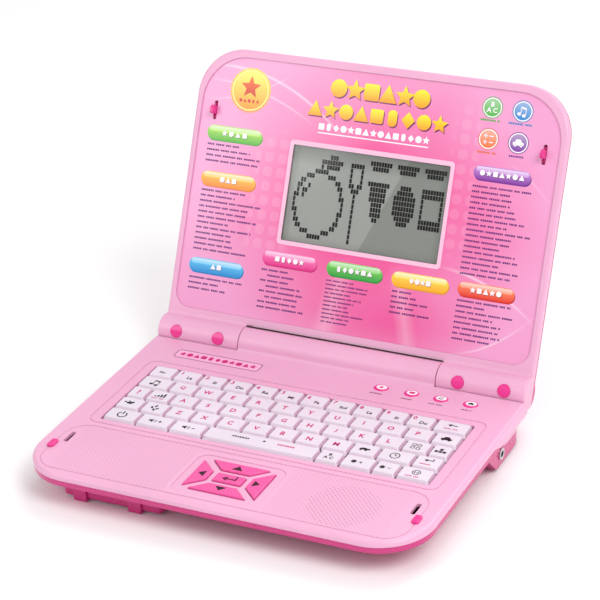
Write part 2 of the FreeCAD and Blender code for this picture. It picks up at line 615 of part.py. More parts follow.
def lid_shells():
    above = block(-200, 200, -50, 250, LID_SEAM_Z, 50)
    cap_posts = [rod(5.0, (x, y, LID_SEAM_Z), (x, y, 7.0)) for x, y in cap_sites()]
    screw_posts = [rod(3.0, (x, y, LID_INSIDE_Z), (x, y, LID_PLATE_Z)) for x, y in LID_SCREWS]
    front = joined([lid_outside().common(above).cut(lid_inside())] + cap_posts + screw_posts)
    cutters = [prism(label_outline(-0.05, LABEL_BED_Z), 3), screen_block(0.05, LID_PLATE_Z - 1, 1)]
    cutters += both_sides(hook_slot()) + both_sides(x_rod(AXLE_R + 0.5, 60, BARREL_IN + WALL + 1))
    cutters += [rod(SCREW_CAP_R + 0.05, (x, y, 7.0), (x, y, 12)) for x, y in cap_sites()]
    cutters += [rod(3.0, (x, y, 5.0), (x, y, 7.5)) for x, y in cap_sites()]
    cutters += [rod(1.35, (x, y, LID_SEAM_Z - 1), (x, y, 6)) for x, y in cap_sites()]
    cutters += [rod(1.1, (x, y, LID_INSIDE_Z - 1), (x, y, LID_PLATE_Z - 0.3)) for x, y in LID_SCREWS]
    front = front.cut(cutters).removeSplitter()

    back_posts = [rod(5.0, (x, y, LID_BACK_Z + 1.2), (x, y, LID_SEAM_Z)) for x, y in cap_sites()]
    back = joined([lid_outside().cut([above, lid_inside()])] + back_posts)
    cutters = both_sides(x_rod(AXLE_R + 0.5, 60, BARREL_IN + WALL + 1))
    cutters += [rod(1.3, (x, y, LID_BACK_Z + 1.6), (x, y, 0)) for x, y in cap_sites()]
    cutters += [rod(2.7, (x, y, LID_BACK_Z - 1), (x, y, LID_BACK_Z + 1.2)) for x, y in LID_SCREWS]
    cutters += [rod(1.4, (x, y, LID_BACK_Z), (x, y, LID_INSIDE_Z + 0.01)) for x, y in LID_SCREWS]
    back = back.cut(cutters).removeSplitter()
    return front, back


def label_panel():
    panel = prism(label_outline(0, LABEL_BED_Z), LABEL_Z - LABEL_BED_Z)
    return panel.cut([screen_block(0.05, -5, 5)] + both_sides(hook_slot()))


def screen_module():
    """Liquid-crystal cell standing up into the window, on its wider carrier."""
    glass = screen_block(-0.2, LID_PLATE_Z - 0.1, LABEL_Z - 1.2)
    carrier = block(-56, 56, SCREEN_BOTTOM - 6, SCREEN_TOP + 6, -5.6, LID_PLATE_Z - 0.1, 2)
    return glass.fuse(carrier).removeSplitter()


def screen_board():
    board = block(-56, 56, SCREEN_BOTTOM - 6, SCREEN_TOP + 6, -6.6, -5.6, 2)
    return board.fuse(block(-10, 10, 70, 90, LID_INSIDE_Z + 0.1, -6.5)).removeSplitter()


def latch_hook():
    """Slider behind the lid's face with a barbed tongue standing out through the slot."""
    slider = block(LATCH_X - 3, LATCH_X + 3, LATCH_REACH - 5, LATCH_REACH + 5, -4.8, -3.6, 0.8)
    y = LATCH_REACH
    side = [(y - 2.3, -4.0), (y + 2.3, -4.0), (y + 2.3, 2.2), (y + 2.9, 2.2), (y + 1.2, 3.9), (y - 1.2, 3.9),
            (y - 2.3, 2.6)]
    wire = Part.makePolygon([Vector(LATCH_X - 1, a, b) for a, b in side + side[:1]])
    tongue = Part.Face(wire).extrude(Vector(2, 0, 0))
    return joined([slider, tongue])


def hook_springs():
    """Short return spring beyond the travel of each hook."""
    y0 = LATCH_REACH + 5 + 2.5
    spring = rod(1.2, (LATCH_X, y0, -5.6), (LATCH_X, y0 + 7, -5.6)).cut(
        rod(0.7, (LATCH_X, y0 - 1, -5.6), (LATCH_X, y0 + 8, -5.6)))
    return both_sides(spring)


def hinge_bushes():
    bush = x_rod(BARREL_R - WALL, BARREL_IN + WALL, AXLE_OUT).cut(x_rod(AXLE_R + 0.06, 60, 90))
    return both_sides(bush)


def screw_caps():
    """Round covers whose faces follow the curve of the barrel."""
    skin = x_rod(BARREL_R + 0.35, -150, 150)
    return [rod(SCREW_CAP_R, (x, y, 7.0), (x, y, 12)).common(skin) for x, y in cap_sites()]


def barrel_screws():
    screws = []
    for x, y in cap_sites():
        screw = cross_head_screw(x, y, 0, 2.7, 1.8, 1.3, 14)
        screw.rotate(Vector(x, y, 0), Vector(1, 0, 0), 180)
        screw.translate(Vector(0, 0, 6.8))
        screws.append(screw)
    return screws


# ---------------------------------------------------------------- build and write every node
top_casing, bottom_casing = base_casings()
save("base_top_casing", top_casing, place_base)
save("base_bottom_casing", bottom_casing, place_base)
save("key_frame", key_frame(), place_base)
save("key_membranes", key_membranes(), place_base)
save("battery_door", battery_door(), place_base)
save("battery_door_screw", cross_head_screw(*DOOR_SCREW, FOOT_H, 0.9, 2.4, 1.0, 8), place_base)
save("batteries", batteries(), place_base)
save("battery_contacts", battery_contacts(), place_base)
save("main_circuit_board", main_board(), place_base)
save("speaker", speaker(), place_base)
save("side_jack", side_jack(), place_base)
save("hinge_axles", hinge_axles(), place_base)
save("feet", feet(), place_base)
save("lid_stops", lid_stops(), place_base)
save("casing_screws", [cross_head_screw(x, y, z + 0.1, 2.5, 0.9, 1.1, 6.4) for x, y, z in CASING_SCREWS],
     place_base)

caps = {}
for node, centre_x, centre_y, cap_width in key_layout():
    caps.setdefault(node, []).append(key_cap(centre_x, centre_y, cap_width))
for node, outline in dpad_outlines().items():
    caps[node] = [dpad_key(outline)]
for node, shapes in caps.items():
    save(node, shapes, place_base)

front_frame, back_shell = lid_shells()
save("lid_front_frame", front_frame, place_lid)
save("lid_back_shell", back_shell, place_lid)
save("label_panel", label_panel(), place_lid)
save("screen_module", screen_module(), place_lid)
save("screen_lens", screen_block(-0.1, LABEL_Z - 1.1, LABEL_Z - 0.1), place_lid)
save("screen_circuit_board", screen_board(), place_lid)
save("hook_left", mirrored(latch_hook()), place_lid)
save("hook_right", latch_hook(), place_lid)
save("hook_springs", hook_springs(), place_lid)
save("hinge_bushes", hinge_bushes(), place_lid)
save("hinge_screw_caps", screw_caps(), place_lid)
save("hinge_screws", barrel_screws(), place_lid)
save("lid_screws", [cross_head_screw(x, y, LID_BACK_Z + 0.1, 2.5, 1.0, 1.1, 5.2) for x, y in LID_SCREWS],
     place_lid)
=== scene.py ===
"""Toy laptop computer: finishes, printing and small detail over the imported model.

Lengths are in millimetres until they meet Blender. Two flat charts carry the printing. The deck chart
has x across and y measured back from the front edge of the keys. The lid chart has x across and y up
the lid from the bottom edge of the screen window. Each turns a chart position and a height above the
surface into a point of the part's frame.
"""

import json
import math
import random

import bmesh
import bpy
from mathutils import Matrix, Vector


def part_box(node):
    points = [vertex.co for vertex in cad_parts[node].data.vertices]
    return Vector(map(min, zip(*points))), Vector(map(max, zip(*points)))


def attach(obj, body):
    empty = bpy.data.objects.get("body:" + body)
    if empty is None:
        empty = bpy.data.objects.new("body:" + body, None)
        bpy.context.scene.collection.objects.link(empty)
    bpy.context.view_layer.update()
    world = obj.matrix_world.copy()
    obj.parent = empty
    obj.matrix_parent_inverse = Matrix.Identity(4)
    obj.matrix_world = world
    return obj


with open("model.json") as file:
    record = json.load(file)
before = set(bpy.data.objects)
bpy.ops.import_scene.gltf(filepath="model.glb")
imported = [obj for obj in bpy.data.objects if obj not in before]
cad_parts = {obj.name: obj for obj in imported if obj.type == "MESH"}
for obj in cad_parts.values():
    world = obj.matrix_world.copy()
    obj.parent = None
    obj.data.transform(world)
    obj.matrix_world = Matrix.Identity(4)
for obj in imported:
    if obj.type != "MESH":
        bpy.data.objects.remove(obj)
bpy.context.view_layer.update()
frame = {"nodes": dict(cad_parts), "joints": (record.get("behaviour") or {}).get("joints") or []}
NODES = frame["nodes"]

# ---------------------------------------------------------------- places
MM = 0.001
HINGE = Vector(next(j for j in frame["joints"] if j["name"] == "lid_hinge")["pos_m"])
TILT = math.radians(25.2)           # how far the lid leans back
LID_UP = Vector((0, math.sin(TILT), math.cos(TILT)))
LID_OUT = Vector((0, -math.cos(TILT), math.sin(TILT)))
DECK_Z = 21.5
KEY_TOP_Z = 22.5
ARROW_TOP_Z = 22.2
KEYS_FRONT = 111.0                  # hinge line to the front edge of the keys
SCREEN_BOTTOM = 64.3                # hinge line to the screen window
LABEL_BACK = 1.4                    # how far the printed face lies behind the hinge line
SCREEN_BACK = 2.6
DPAD_Y = -33.8
SPEAKER = (69.0, -36.0, 20.0)       # x, y and radius on the deck chart
INDICATOR_XS = (35.8, 54.7, 72.8, 91.0)
INDICATOR_Y = 88.6
INDICATOR_RISE = 0.5
SCREEN_WIDE = 100.4
SCREEN_TALL = 57.0
SCREEN_TOP = 57.2


def deck(x, y, height=0.0, z=DECK_Z):
    return Vector((x * MM, HINGE.y + (y - KEYS_FRONT) * MM, (z + height) * MM))


def key_tops(x, y, height=0.0):
    return deck(x, y, height, KEY_TOP_Z)


def arrow_tops(x, y, height=0.0):
    return deck(x, y, height, ARROW_TOP_Z)


def lid(x, y, height=0.0, back=LABEL_BACK):
    up = LID_UP * ((y + SCREEN_BOTTOM) * MM)
    return HINGE + Vector((x * MM, 0, 0)) + up + LID_OUT * ((height - back) * MM)


def screen(x, y, height=0.0):
    return lid(x, y, height, SCREEN_BACK)


# ---------------------------------------------------------------- colours
def colour(red, green, blue):
    """Linear colour from the usual 0 to 255 numbers."""
    def linear(value):
        value /= 255
        return value / 12.92 if value <= 0.04045 else ((value + 0.055) / 1.055) ** 2.4
    return (linear(red), linear(green), linear(blue), 1.0)


DECK_PINK = colour(232, 171, 203)
DEEP_PINK = colour(232, 44, 142)
HOT_PINK = colour(200, 38, 120)
ARROW_PINK = colour(234, 84, 158)
KEY_WHITE = colour(226, 216, 228)
INK_BLACK = colour(20, 16, 22)
INK_MAGENTA = colour(202, 22, 112)
INK_PURPLE = colour(84, 24, 108)
PAPER_WHITE = colour(248, 240, 246)
PALE_PINK = colour(240, 192, 216)


# ---------------------------------------------------------------- materials
class Field:
    """A number that varies over a surface. Arithmetic on it adds the matching math nodes."""

    def __init__(self, tree, socket):
        self.tree = tree
        self.socket = socket

    def join(self, operation, *others, clamp=False):
        node = self.tree.nodes.new("ShaderNodeMath")
        node.operation = operation
        node.use_clamp = clamp
        for place, value in zip(node.inputs, (self,) + others):
            if isinstance(value, Field):
                self.tree.links.new(value.socket, place)
            else:
                place.default_value = value
        return Field(self.tree, node.outputs[0])

    def __add__(self, other):
        return self.join("ADD", other)

    def __sub__(self, other):
        return self.join("SUBTRACT", other)

    def __mul__(self, other):
        return self.join("MULTIPLY", other)

    def __truediv__(self, other):
        return self.join("DIVIDE", other)

    def __pow__(self, other):
        return self.join("POWER", other)

    def size(self):
        return self.join("ABSOLUTE")

    def root(self):
        return self.join("SQRT")

    def wave(self):
        return self.join("SINE")

    def ramp(self, low, high):
        """0 below low, 1 above high, straight between; low may be the larger."""
        return ((self - low) / (high - low)).join("ADD", 0.0, clamp=True)


class Finish:
    """A procedural material around one Principled shader."""

    def __init__(self, name, roughness=0.35, **sockets):
        self.material = bpy.data.materials.new(name)
        self.material.use_nodes = True
        self.tree = self.material.node_tree
        self.shader = self.tree.nodes["Principled BSDF"]
        self.place = self.tree.nodes.new("ShaderNodeTexCoord").outputs["Object"]
        for socket, value in sockets.items():
            self.shader.inputs[socket.replace("_", " ").title().replace("Ior", "IOR")].default_value = value
        self.roughness = roughness

    def noise(self, per_metre, detail=3.0, stretch=(1, 1, 1)):
        mapping = self.tree.nodes.new("ShaderNodeMapping")
        mapping.inputs["Scale"].default_value = stretch
        node = self.tree.nodes.new("ShaderNodeTexNoise")
        node.inputs["Scale"].default_value = per_metre
        node.inputs["Detail"].default_value = detail
        self.tree.links.new(self.place, mapping.inputs["Vector"])
        self.tree.links.new(mapping.outputs["Vector"], node.inputs["Vector"])
        return Field(self.tree, node.outputs["Fac"])

    def along(self, direction, origin=(0, 0, 0)):
        """Distance in millimetres along a direction from a point."""
        shift = self.tree.nodes.new("ShaderNodeVectorMath")
        shift.operation = "SUBTRACT"
        shift.inputs[1].default_value = origin
        dot = self.tree.nodes.new("ShaderNodeVectorMath")
        dot.operation = "DOT_PRODUCT"
        dot.inputs[1].default_value = [value / MM for value in direction]
        self.tree.links.new(self.place, shift.inputs[0])
        self.tree.links.new(shift.outputs[0], dot.inputs[0])
        return Field(self.tree, dot.outputs["Value"])

    def mix(self, amount, first, second):
        """Blend of two colours, each a socket or a fixed colour."""
        node = self.tree.nodes.new("ShaderNodeMix")
        node.data_type = "RGBA"
        self.tree.links.new(amount.socket, node.inputs[0])
        for place, value in ((node.inputs[6], first), (node.inputs[7], second)):
            if isinstance(value, bpy.types.NodeSocket):
                self.tree.links.new(value, place)
            else:
                place.default_value = value
        return node.outputs[2]

    def edges(self, radius):
        """Rounded normals, and a field that is high along sharp edges."""
        bevel = self.tree.nodes.new("ShaderNodeBevel")
        bevel.samples = 4
        bevel.inputs["Radius"].default_value = radius * MM
        flat = self.tree.nodes.new("ShaderNodeNewGeometry")
        dot = self.tree.nodes.new("ShaderNodeVectorMath")
        dot.operation = "DOT_PRODUCT"
        self.tree.links.new(bevel.outputs["Normal"], dot.inputs[0])
        self.tree.links.new(flat.outputs["Normal"], dot.inputs[1])
        return bevel.outputs["Normal"], Field(self.tree, dot.outputs["Value"]).ramp(0.94, 0.6)

    def finish(self, base, grain, grain_height=0.005, rough_spread=0.12, normal=None):
        """Colour, roughness that follows the grain, and a fine bump."""
        self.tree.links.new(base, self.shader.inputs["Base Color"])
        low = self.roughness - rough_spread / 2
        self.tree.links.new((grain * rough_spread + low).socket, self.shader.inputs["Roughness"])
        bump = self.tree.nodes.new("ShaderNodeBump")
        bump.inputs["Strength"].default_value = 0.2
        bump.inputs["Distance"].default_value = grain_height * MM
        self.tree.links.new(grain.socket, bump.inputs["Height"])
        if normal:
            self.tree.links.new(normal, bump.inputs["Normal"])
        self.tree.links.new(bump.outputs["Normal"], self.shader.inputs["Normal"])
        return self.material


def tinted(tint, amount):
    """The colour made lighter (amount over 1) or deeper (under 1)."""
    return tuple(min(1.0, channel * amount) for channel in tint[:3]) + (1.0,)


def moulded(name, tint, roughness=0.3, edge=0.35, grain=900, wear=0.35, **sockets):
    """Moulded plastic: faint clouding, fine grain and rubbed, slightly paler edges."""
    finish = Finish(name, roughness, **sockets)
    clouds = finish.noise(14, 4).ramp(0.3, 0.7)
    scuffs = finish.noise(220, 5, (1, 4, 1)).ramp(0.62, 0.8)
    base = finish.mix(clouds, tinted(tint, 0.955), tinted(tint, 1.03))
    base = finish.mix(scuffs * 0.10, base, tinted(tint, 0.85))
    normal, edges = finish.edges(edge)
    pale = tuple(0.55 * channel + 0.45 for channel in tint[:3]) + (1.0,)
    base = finish.mix(edges * wear * finish.noise(90, 3).ramp(0.35, 0.75), base, pale)
    return finish.finish(base, finish.noise(grain, 6), normal=normal)


def key_finish():
    """White key plastic whose sides and front are painted a darker pink: painted shade for the gaps and
    painted pink reflection from the casing round them.
    """
    finish = Finish("white_key_plastic", 0.36, subsurface_weight=0.06, subsurface_scale=0.002)
    facing = finish.tree.nodes.new("ShaderNodeVectorMath")
    facing.operation = "DOT_PRODUCT"
    facing.inputs[1].default_value = (0, 0, 1)
    finish.tree.links.new(finish.tree.nodes["Texture Coordinate"].outputs["Normal"], facing.inputs[0])
    side_shade = Field(finish.tree, facing.outputs["Value"]).ramp(0.6, 0.15)
    clouds = finish.noise(30, 3).ramp(0.3, 0.7)
    base = finish.mix(clouds, tinted(KEY_WHITE, 0.96), tinted(KEY_WHITE, 1.03))
    base = finish.mix(finish.noise(240, 5, (1, 4, 1)).ramp(0.6, 0.8) * 0.15, base, colour(206, 186, 200))
    # Painted shade and painted pink reflection on faces that do not face up.
    base = finish.mix(side_shade * 0.75, base, colour(196, 122, 162))
    normal, _ = finish.edges(0.3)
    return finish.finish(base, finish.noise(1500, 5), normal=normal)


def metal(name, tint, roughness=0.28):
    """Plated steel with fine turning marks and a little tarnish."""
    finish = Finish(name, roughness, metallic=1.0)
    tarnish = finish.noise(260, 5).ramp(0.45, 0.75)
    base = finish.mix(tarnish, tint, tinted(tint, 0.62))
    normal, _ = finish.edges(0.12)
    return finish.finish(base, finish.noise(1800, 4, (1, 1, 6)), 0.02, 0.2, normal)


def board_finish():
    """Green circuit board with paler copper runs under the lacquer."""
    finish = Finish("circuit_board", 0.38)
    runs = finish.noise(160, 1, (1, 9, 9)).ramp(0.48, 0.52)
    base = finish.mix(runs, colour(24, 92, 44), colour(58, 138, 70))
    return finish.finish(base, finish.noise(700, 3), 0.02)


def cell_finish():
    """Battery sleeve: dark with a coloured band near one end."""
    finish = Finish("cell_wrap", 0.3)
    band = finish.along((1, 0, 0)).ramp(-55, -54.5)
    base = finish.mix(band, colour(58, 60, 66), colour(196, 150, 60))
    base = finish.mix(finish.noise(80).ramp(0.55, 0.8) * 0.4, base, colour(30, 30, 34))
    return finish.finish(base, finish.noise(500))


def label_finish():
    """Printed panel: bright pink round the screen, paler to the edges, with soft pale sweeps that are painted
    sheen.
    """
    finish = Finish("printed_label", 0.2, coat_weight=0.5, coat_roughness=0.08)
    x = finish.along((1, 0, 0), HINGE)
    y = finish.along(LID_UP, HINGE) - SCREEN_BOTTOM
    reach = (((x - 2) / 90) ** 2.0 + ((y - 24) / 84) ** 2.0).root()
    cloud = finish.noise(18, 3)
    pale = (reach + (cloud - 0.5) * 0.5).ramp(0.42, 1.2)
    base = finish.mix(pale, colour(234, 84, 152), colour(236, 158, 202))
    low_glow = (((x - 26) / 62) ** 2.0 + ((y + 38) / 26) ** 2.0).root().ramp(1.0, 0.1)
    base = finish.mix(low_glow * 0.8, base, colour(232, 70, 146))

    ring_x = ((x / 8.7) * math.pi).wave().size()
    ring_y = ((y / 8.7) * math.pi).wave().size()
    discs = ring_x.join("MULTIPLY", ring_y).ramp(0.42, 0.5)
    left = (x + 72).ramp(-4, 0) * (x + 44).ramp(0, -6) * (y - 66).ramp(0, -8) * (y + 8).ramp(-4, 4)
    right = (x - 52).ramp(-4, 2) * (x - 66).ramp(2, -2) * (y - 96).ramp(0, -8) * (y - 8).ramp(-4, 4)
    base = finish.mix(discs * (left + right) * 0.08, base, PAPER_WHITE)

    # Painted sheen: thin pale curved sweeps fading out at their ends.
    sheen_sweeps = [(-0.0052, -100, 99, 0.8, -114, -18, 0.5), (-0.0040, -110, 90, 0.6, -114, -38, 0.4),
              (0.0060, -115, 78, 0.6, -114, -55, 0.35), (-0.0060, 50, -1, 0.8, 52, 115, 0.5),
              (0.0100, 60, -50, 0.7, 66, 115, 0.4), (-0.0120, 70, 66, 0.7, 84, 115, 0.35)]
    for bend, middle, top, width, start, end, strength in sheen_sweeps:
        curve = ((x - middle) ** 2.0) * bend + top
        line = (y - curve).size().ramp(width * 1.6, 0)
        fade = x.ramp(start, start + 18) * x.ramp(end, end - 18)
        base = finish.mix(line * fade * strength, base, PAPER_WHITE)
    # Painted sheen: two broad pale slanting streaks below the screen window.
    for slope, offset, width in ((0.2, -14, 9.0), (-0.28, 38, 7.0)):
        line = (x - (y + 45) * slope - offset).size().ramp(width, 0)
        base = finish.mix(line * y.ramp(-4, -16) * 0.22, base, PAPER_WHITE)
    return finish.finish(base, finish.noise(300, 4), 0.006, 0.08)


def screen_finish():
    """Grey-green liquid-crystal cell, with painted shadow from the frame toward its edges, strongest at the
    top, and a painted glare that leaves it paler on one side of a slanting line.
    """
    finish = Finish("screen_cell", 0.4)
    x = finish.along((1, 0, 0), HINGE)
    y = finish.along(LID_UP, HINGE) - SCREEN_BOTTOM
    # Painted glare: paler to the left of a slanting line.
    painted_glare = (x - y * 0.44 + 0.8).ramp(-0.5, 0.8)
    base = finish.mix(painted_glare, colour(205, 204, 202), colour(176, 176, 172))
    # Painted shadow from the frame on the cell: darkest at the top edge, less at the sides and bottom.
    frame_shadow = (y.ramp(46, 58) + x.size().ramp(45, 51) * 0.7 + y.ramp(5, 0) * 0.4).join("MINIMUM", 1.0)
    base = finish.mix(frame_shadow * 0.62, base, colour(88, 90, 86))
    base = finish.mix(finish.noise(120, 3) * 0.15, base, colour(176, 180, 168))
    return finish.finish(base, finish.noise(1500, 2), 0.003)


def lens_finish():
    """Clear window: passes light straight through and mirrors a little at grazing angles."""
    finish = Finish("window_clear")
    tree = finish.tree
    clear = tree.nodes.new("ShaderNodeBsdfTransparent")
    clear.inputs["Color"].default_value = (0.97, 0.98, 0.97, 1)
    gloss = tree.nodes.new("ShaderNodeBsdfGlossy")
    spots = finish.noise(60, 3) * 0.08 + 0.02
    tree.links.new(spots.socket, gloss.inputs["Roughness"])
    fresnel = tree.nodes.new("ShaderNodeFresnel")
    fresnel.inputs["IOR"].default_value = 1.35
    mix = tree.nodes.new("ShaderNodeMixShader")
    tree.links.new(fresnel.outputs[0], mix.inputs[0])
    tree.links.new(clear.outputs[0], mix.inputs[1])
    tree.links.new(gloss.outputs[0], mix.inputs[2])
    tree.links.new(mix.outputs[0], tree.nodes["Material Output"].inputs["Surface"])
    return finish.material


def ink_finish(name="printing_ink", roughness=0.3, **sockets):
    """Printing: takes its colour from the shape printed, with slight unevenness of the ink."""
    finish = Finish(name, roughness, **sockets)
    drawn = finish.tree.nodes.new("ShaderNodeAttribute")
    drawn.attribute_name = "ink"
    thin = finish.noise(420, 4).ramp(0.5, 0.8)
    base = finish.mix(thin * 0.025, drawn.outputs["Color"], PALE_PINK)
    return finish.finish(base, finish.noise(800, 3), 0.004)


INK = ink_finish(specular_ior_level=0.3)
GLOSSY_INK = ink_finish("glossy_ink", 0.2, coat_weight=0.25, coat_roughness=0.05)
SCREEN_INK = ink_finish("screen_segments", 0.5, specular_ior_level=0.1)
PINK = moulded("pink_plastic", DECK_PINK, 0.36, coat_weight=0.1, coat_roughness=0.2,
               subsurface_weight=0.06, subsurface_scale=0.004)
MAGENTA = moulded("magenta_plastic", HOT_PINK, 0.26, coat_weight=0.3, coat_roughness=0.1)
BRIGHT = moulded("bright_pink_plastic", DEEP_PINK, 0.24, edge=0.25, coat_weight=0.3)
ARROWS = moulded("arrow_key_plastic", ARROW_PINK, 0.28, edge=0.3, coat_weight=0.2)
WHITE = key_finish()
# The key frame is coloured dark: painted shade seen through the gaps between the keys.
WELL_SHADE = moulded("key_well_shade_plastic", colour(112, 34, 74), 0.55)
# Dark colour for the piece that stands in for shade in the hinge slit.
SHADE = moulded("painted_shadow_lip", colour(66, 14, 38), 0.6)
BLACK = moulded("black_plastic", colour(24, 24, 27), 0.4)
NYLON = moulded("bearing_nylon", colour(232, 230, 222), 0.42)
RUBBER = moulded("contact_rubber", colour(92, 92, 96), 0.65)
STEEL = metal("plated_steel", (0.62, 0.62, 0.64, 1))

FINISHES = {
    "base_top_casing": PINK, "lid_front_frame": PINK, "key_frame": WELL_SHADE,
    "base_bottom_casing": MAGENTA, "lid_back_shell": MAGENTA, "battery_door": MAGENTA, "feet": MAGENTA,
    "lid_stops": BRIGHT, "hinge_screw_caps": BRIGHT, "hook_left": BRIGHT, "hook_right": BRIGHT,
    "label_panel": label_finish(), "screen_module": screen_finish(), "screen_lens": lens_finish(),
    "main_circuit_board": board_finish(), "screen_circuit_board": board_finish(),
    "batteries": cell_finish(), "speaker": BLACK, "hinge_bushes": NYLON, "key_membranes": RUBBER,
    "up_key": ARROWS, "down_key": ARROWS, "left_key": ARROWS, "right_key": ARROWS, "centre_key": ARROWS,
}
for node_name, node in NODES.items():
    material = FINISHES.get(node_name, WHITE if "_key" in node_name else STEEL)
    node.data.materials.clear()
    node.data.materials.append(material)
    node.data.shade_smooth()
    node.data.set_sharp_from_angle(angle=math.radians(32))


# ---------------------------------------------------------------- printing
SHAPES = ("star", "disc", "triangle", "square", "post", "diamond", "disc", "star", "square", "triangle")


def ellipse(x, y, across, up, count=32, start=0.0, sweep=360.0):
    turns = count if sweep >= 360 else count - 1
    angles = [math.radians(start + sweep * i / turns) for i in range(count)]
    return [(x + across * math.cos(a), y + up * math.sin(a)) for a in angles]


def rounded(x0, x1, y0, y1, radius, steps=6):
    """Rectangle with rounded corners."""
    corners = [(x1 - radius, y1 - radius, 0), (x0 + radius, y1 - radius, 90),
               (x0 + radius, y0 + radius, 180), (x1 - radius, y0 + radius, 270)]
    points = []
    for x, y, start in corners:
        points += ellipse(x, y, radius, radius, steps + 1, start, 90)
    return points


def star(x, y, outer, inner, tips, start=90.0):
    """Star outline, first tip at the start angle."""
    points = []
    for i in range(2 * tips):
        radius = inner if i % 2 else outer
        angle = math.radians(start + 180 * i / tips)
        points.append((x + radius * math.cos(angle), y + radius * math.sin(angle)))
    return points


def toy_shape(kind, x, y, size):
    """Outline of a simple building-block shape."""
    half = size / 2
    if kind == "star":
        return star(x, y, half * 1.12, half * 0.52, 5)
    if kind == "disc":
        return ellipse(x, y, half * 0.92, half * 0.92)
    if kind == "square":
        return rounded(x - half * 0.85, x + half * 0.85, y - half * 0.85, y + half * 0.85, size * 0.12)
    if kind == "triangle":
        return [(x - half, y - half * 0.85), (x + half, y - half * 0.85), (x, y + half)]
    if kind == "diamond":
        return [(x, y - half), (x + half * 0.85, y), (x, y + half), (x - half * 0.85, y)]
    return rounded(x - half * 0.6, x + half * 0.6, y - half, y + half, size * 0.28)


class Printing:
    """Flat shapes on one chart, gathered into a single thin piece."""

    LAYER = 0.025

    def __init__(self, name, chart, body, slot_name, material=INK):
        self.name = name
        self.chart = chart
        self.body = body
        self.slot_name = slot_name
        self.material = material
        self.points = []
        self.faces = []
        self.inks = []

    def face(self, points, inks, layer):
        """One flat face, with a colour for each corner."""
        start = len(self.points)
        self.points += [self.chart(x, y, layer * self.LAYER) for x, y in points]
        self.faces.append(range(start, start + len(points)))
        self.inks += inks

    def fill(self, outline, ink, layer=1, top_ink=None):
        """One closed outline; with top_ink the colour runs from ink at the bottom to it at the top."""
        lows = [y for _, y in outline]
        low = min(lows)
        tall = max(max(lows) - low, 1e-6)
        inks = []
        for _, y in outline:
            share = (y - low) / tall
            inks.append([a + (b - a) * share for a, b in zip(ink, top_ink or ink)])
        self.face(outline, inks, layer)

    def band(self, outer, inner, ink, layer=1):
        """The strip between two outlines that have as many points as each other."""
        count = len(outer)
        for i in range(count):
            j = (i + 1) % count
            self.face([outer[i], outer[j], inner[j], inner[i]], [ink] * 4, layer)

    def ring(self, x, y, radius, width, ink, layer=1, start=0.0, sweep=360.0):
        count = 36
        outer = ellipse(x, y, radius, radius, count, start, sweep)
        inner = ellipse(x, y, radius - width, radius - width, count, start, sweep)
        for i in range(count if sweep >= 360 else count - 1):
            j = (i + 1) % count
            self.face([outer[i], outer[j], inner[j], inner[i]], [ink] * 4, layer)

    def bar(self, x, y, wide, tall, ink, layer=1):
        half = wide / 2
        deep = tall / 2
        self.fill([(x - half, y - deep), (x + half, y - deep), (x + half, y + deep), (x - half, y + deep)],
                  ink, layer)

    def stroke(self, points, width, ink, layer=1):
        """A line of even width through the points."""
        for (ax, ay), (bx, by) in zip(points, points[1:]):
            length = math.hypot(bx - ax, by - ay)
            nx = (ay - by) / length * width / 2
            ny = (bx - ax) / length * width / 2
            self.face([(ax + nx, ay + ny), (ax - nx, ay - ny), (bx - nx, by - ny), (bx + nx, by + ny)],
                      [ink] * 4, layer)

    def letters(self, text, x, y, tall, ink, layer=1):
        """Plain letters or digits centred on x, y."""
        curve = bpy.data.curves.new("letters", "FONT")
        curve.body = text
        curve.resolution_u = 3
        curve.offset = 0.03
        holder = bpy.data.objects.new("letters", curve)
        mesh = bpy.data.meshes.new_from_object(holder)
        xs = [v.co.x for v in mesh.vertices]
        ys = [v.co.y for v in mesh.vertices]
        scale = tall / (max(ys) - min(ys))
        middle_x = (max(xs) + min(xs)) / 2
        middle_y = (max(ys) + min(ys)) / 2
        for polygon in mesh.polygons:
            corners = [mesh.vertices[i].co for i in polygon.vertices]
            self.face([(x + (c.x - middle_x) * scale, y + (c.y - middle_y) * scale) for c in corners],
                      [ink] * len(corners), layer)
        bpy.data.objects.remove(holder)
        bpy.data.curves.remove(curve)
        bpy.data.meshes.remove(mesh)

    def dashes(self, x0, x1, y, tall, ink, layer=1, seed=0, group=(3, 9)):
        """Even dashes in uneven groups, in place of a line of small print."""
        rng = random.Random(seed)
        unit = tall * 0.5
        x = x0
        while x < x1 - unit * 0.6:
            for _ in range(rng.randint(*group)):
                wide = unit * rng.uniform(0.6, 1.0)
                if x + wide > x1:
                    break
                self.bar(x + wide / 2, y + tall * 0.34, wide, tall * 0.5, ink, layer)
                x += wide + unit * 0.28
            x += unit * 0.85

    def blocks_row(self, x0, x1, count, y, size, ink, layer=1, first=0, top_ink=None):
        """An even row of simple block shapes between x0 and x1."""
        pitch = (x1 - x0) / count
        for i in range(count):
            kind = SHAPES[(i + first) % len(SHAPES)]
            self.fill(toy_shape(kind, x0 + (i + 0.5) * pitch, y, size), ink, layer, top_ink)

    def make(self):
        """The finished piece, riding on its body."""
        mesh = bpy.data.meshes.new(self.name)
        mesh.from_pydata(self.points, [], [list(face) for face in self.faces])
        drawn = mesh.color_attributes.new("ink", "FLOAT_COLOR", "POINT")
        for value, ink in zip(drawn.data, self.inks):
            value.color = ink
        mesh.materials.append(self.material)
        outward = self.chart(0, 0, 1) - self.chart(0, 0, 0)
        if sum(p.normal.dot(outward) for p in mesh.polygons) < 0:
            mesh.flip_normals()
        piece = bpy.data.objects.new(self.name, mesh)
        bpy.context.scene.collection.objects.link(piece)
        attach(piece, self.body)
        return piece


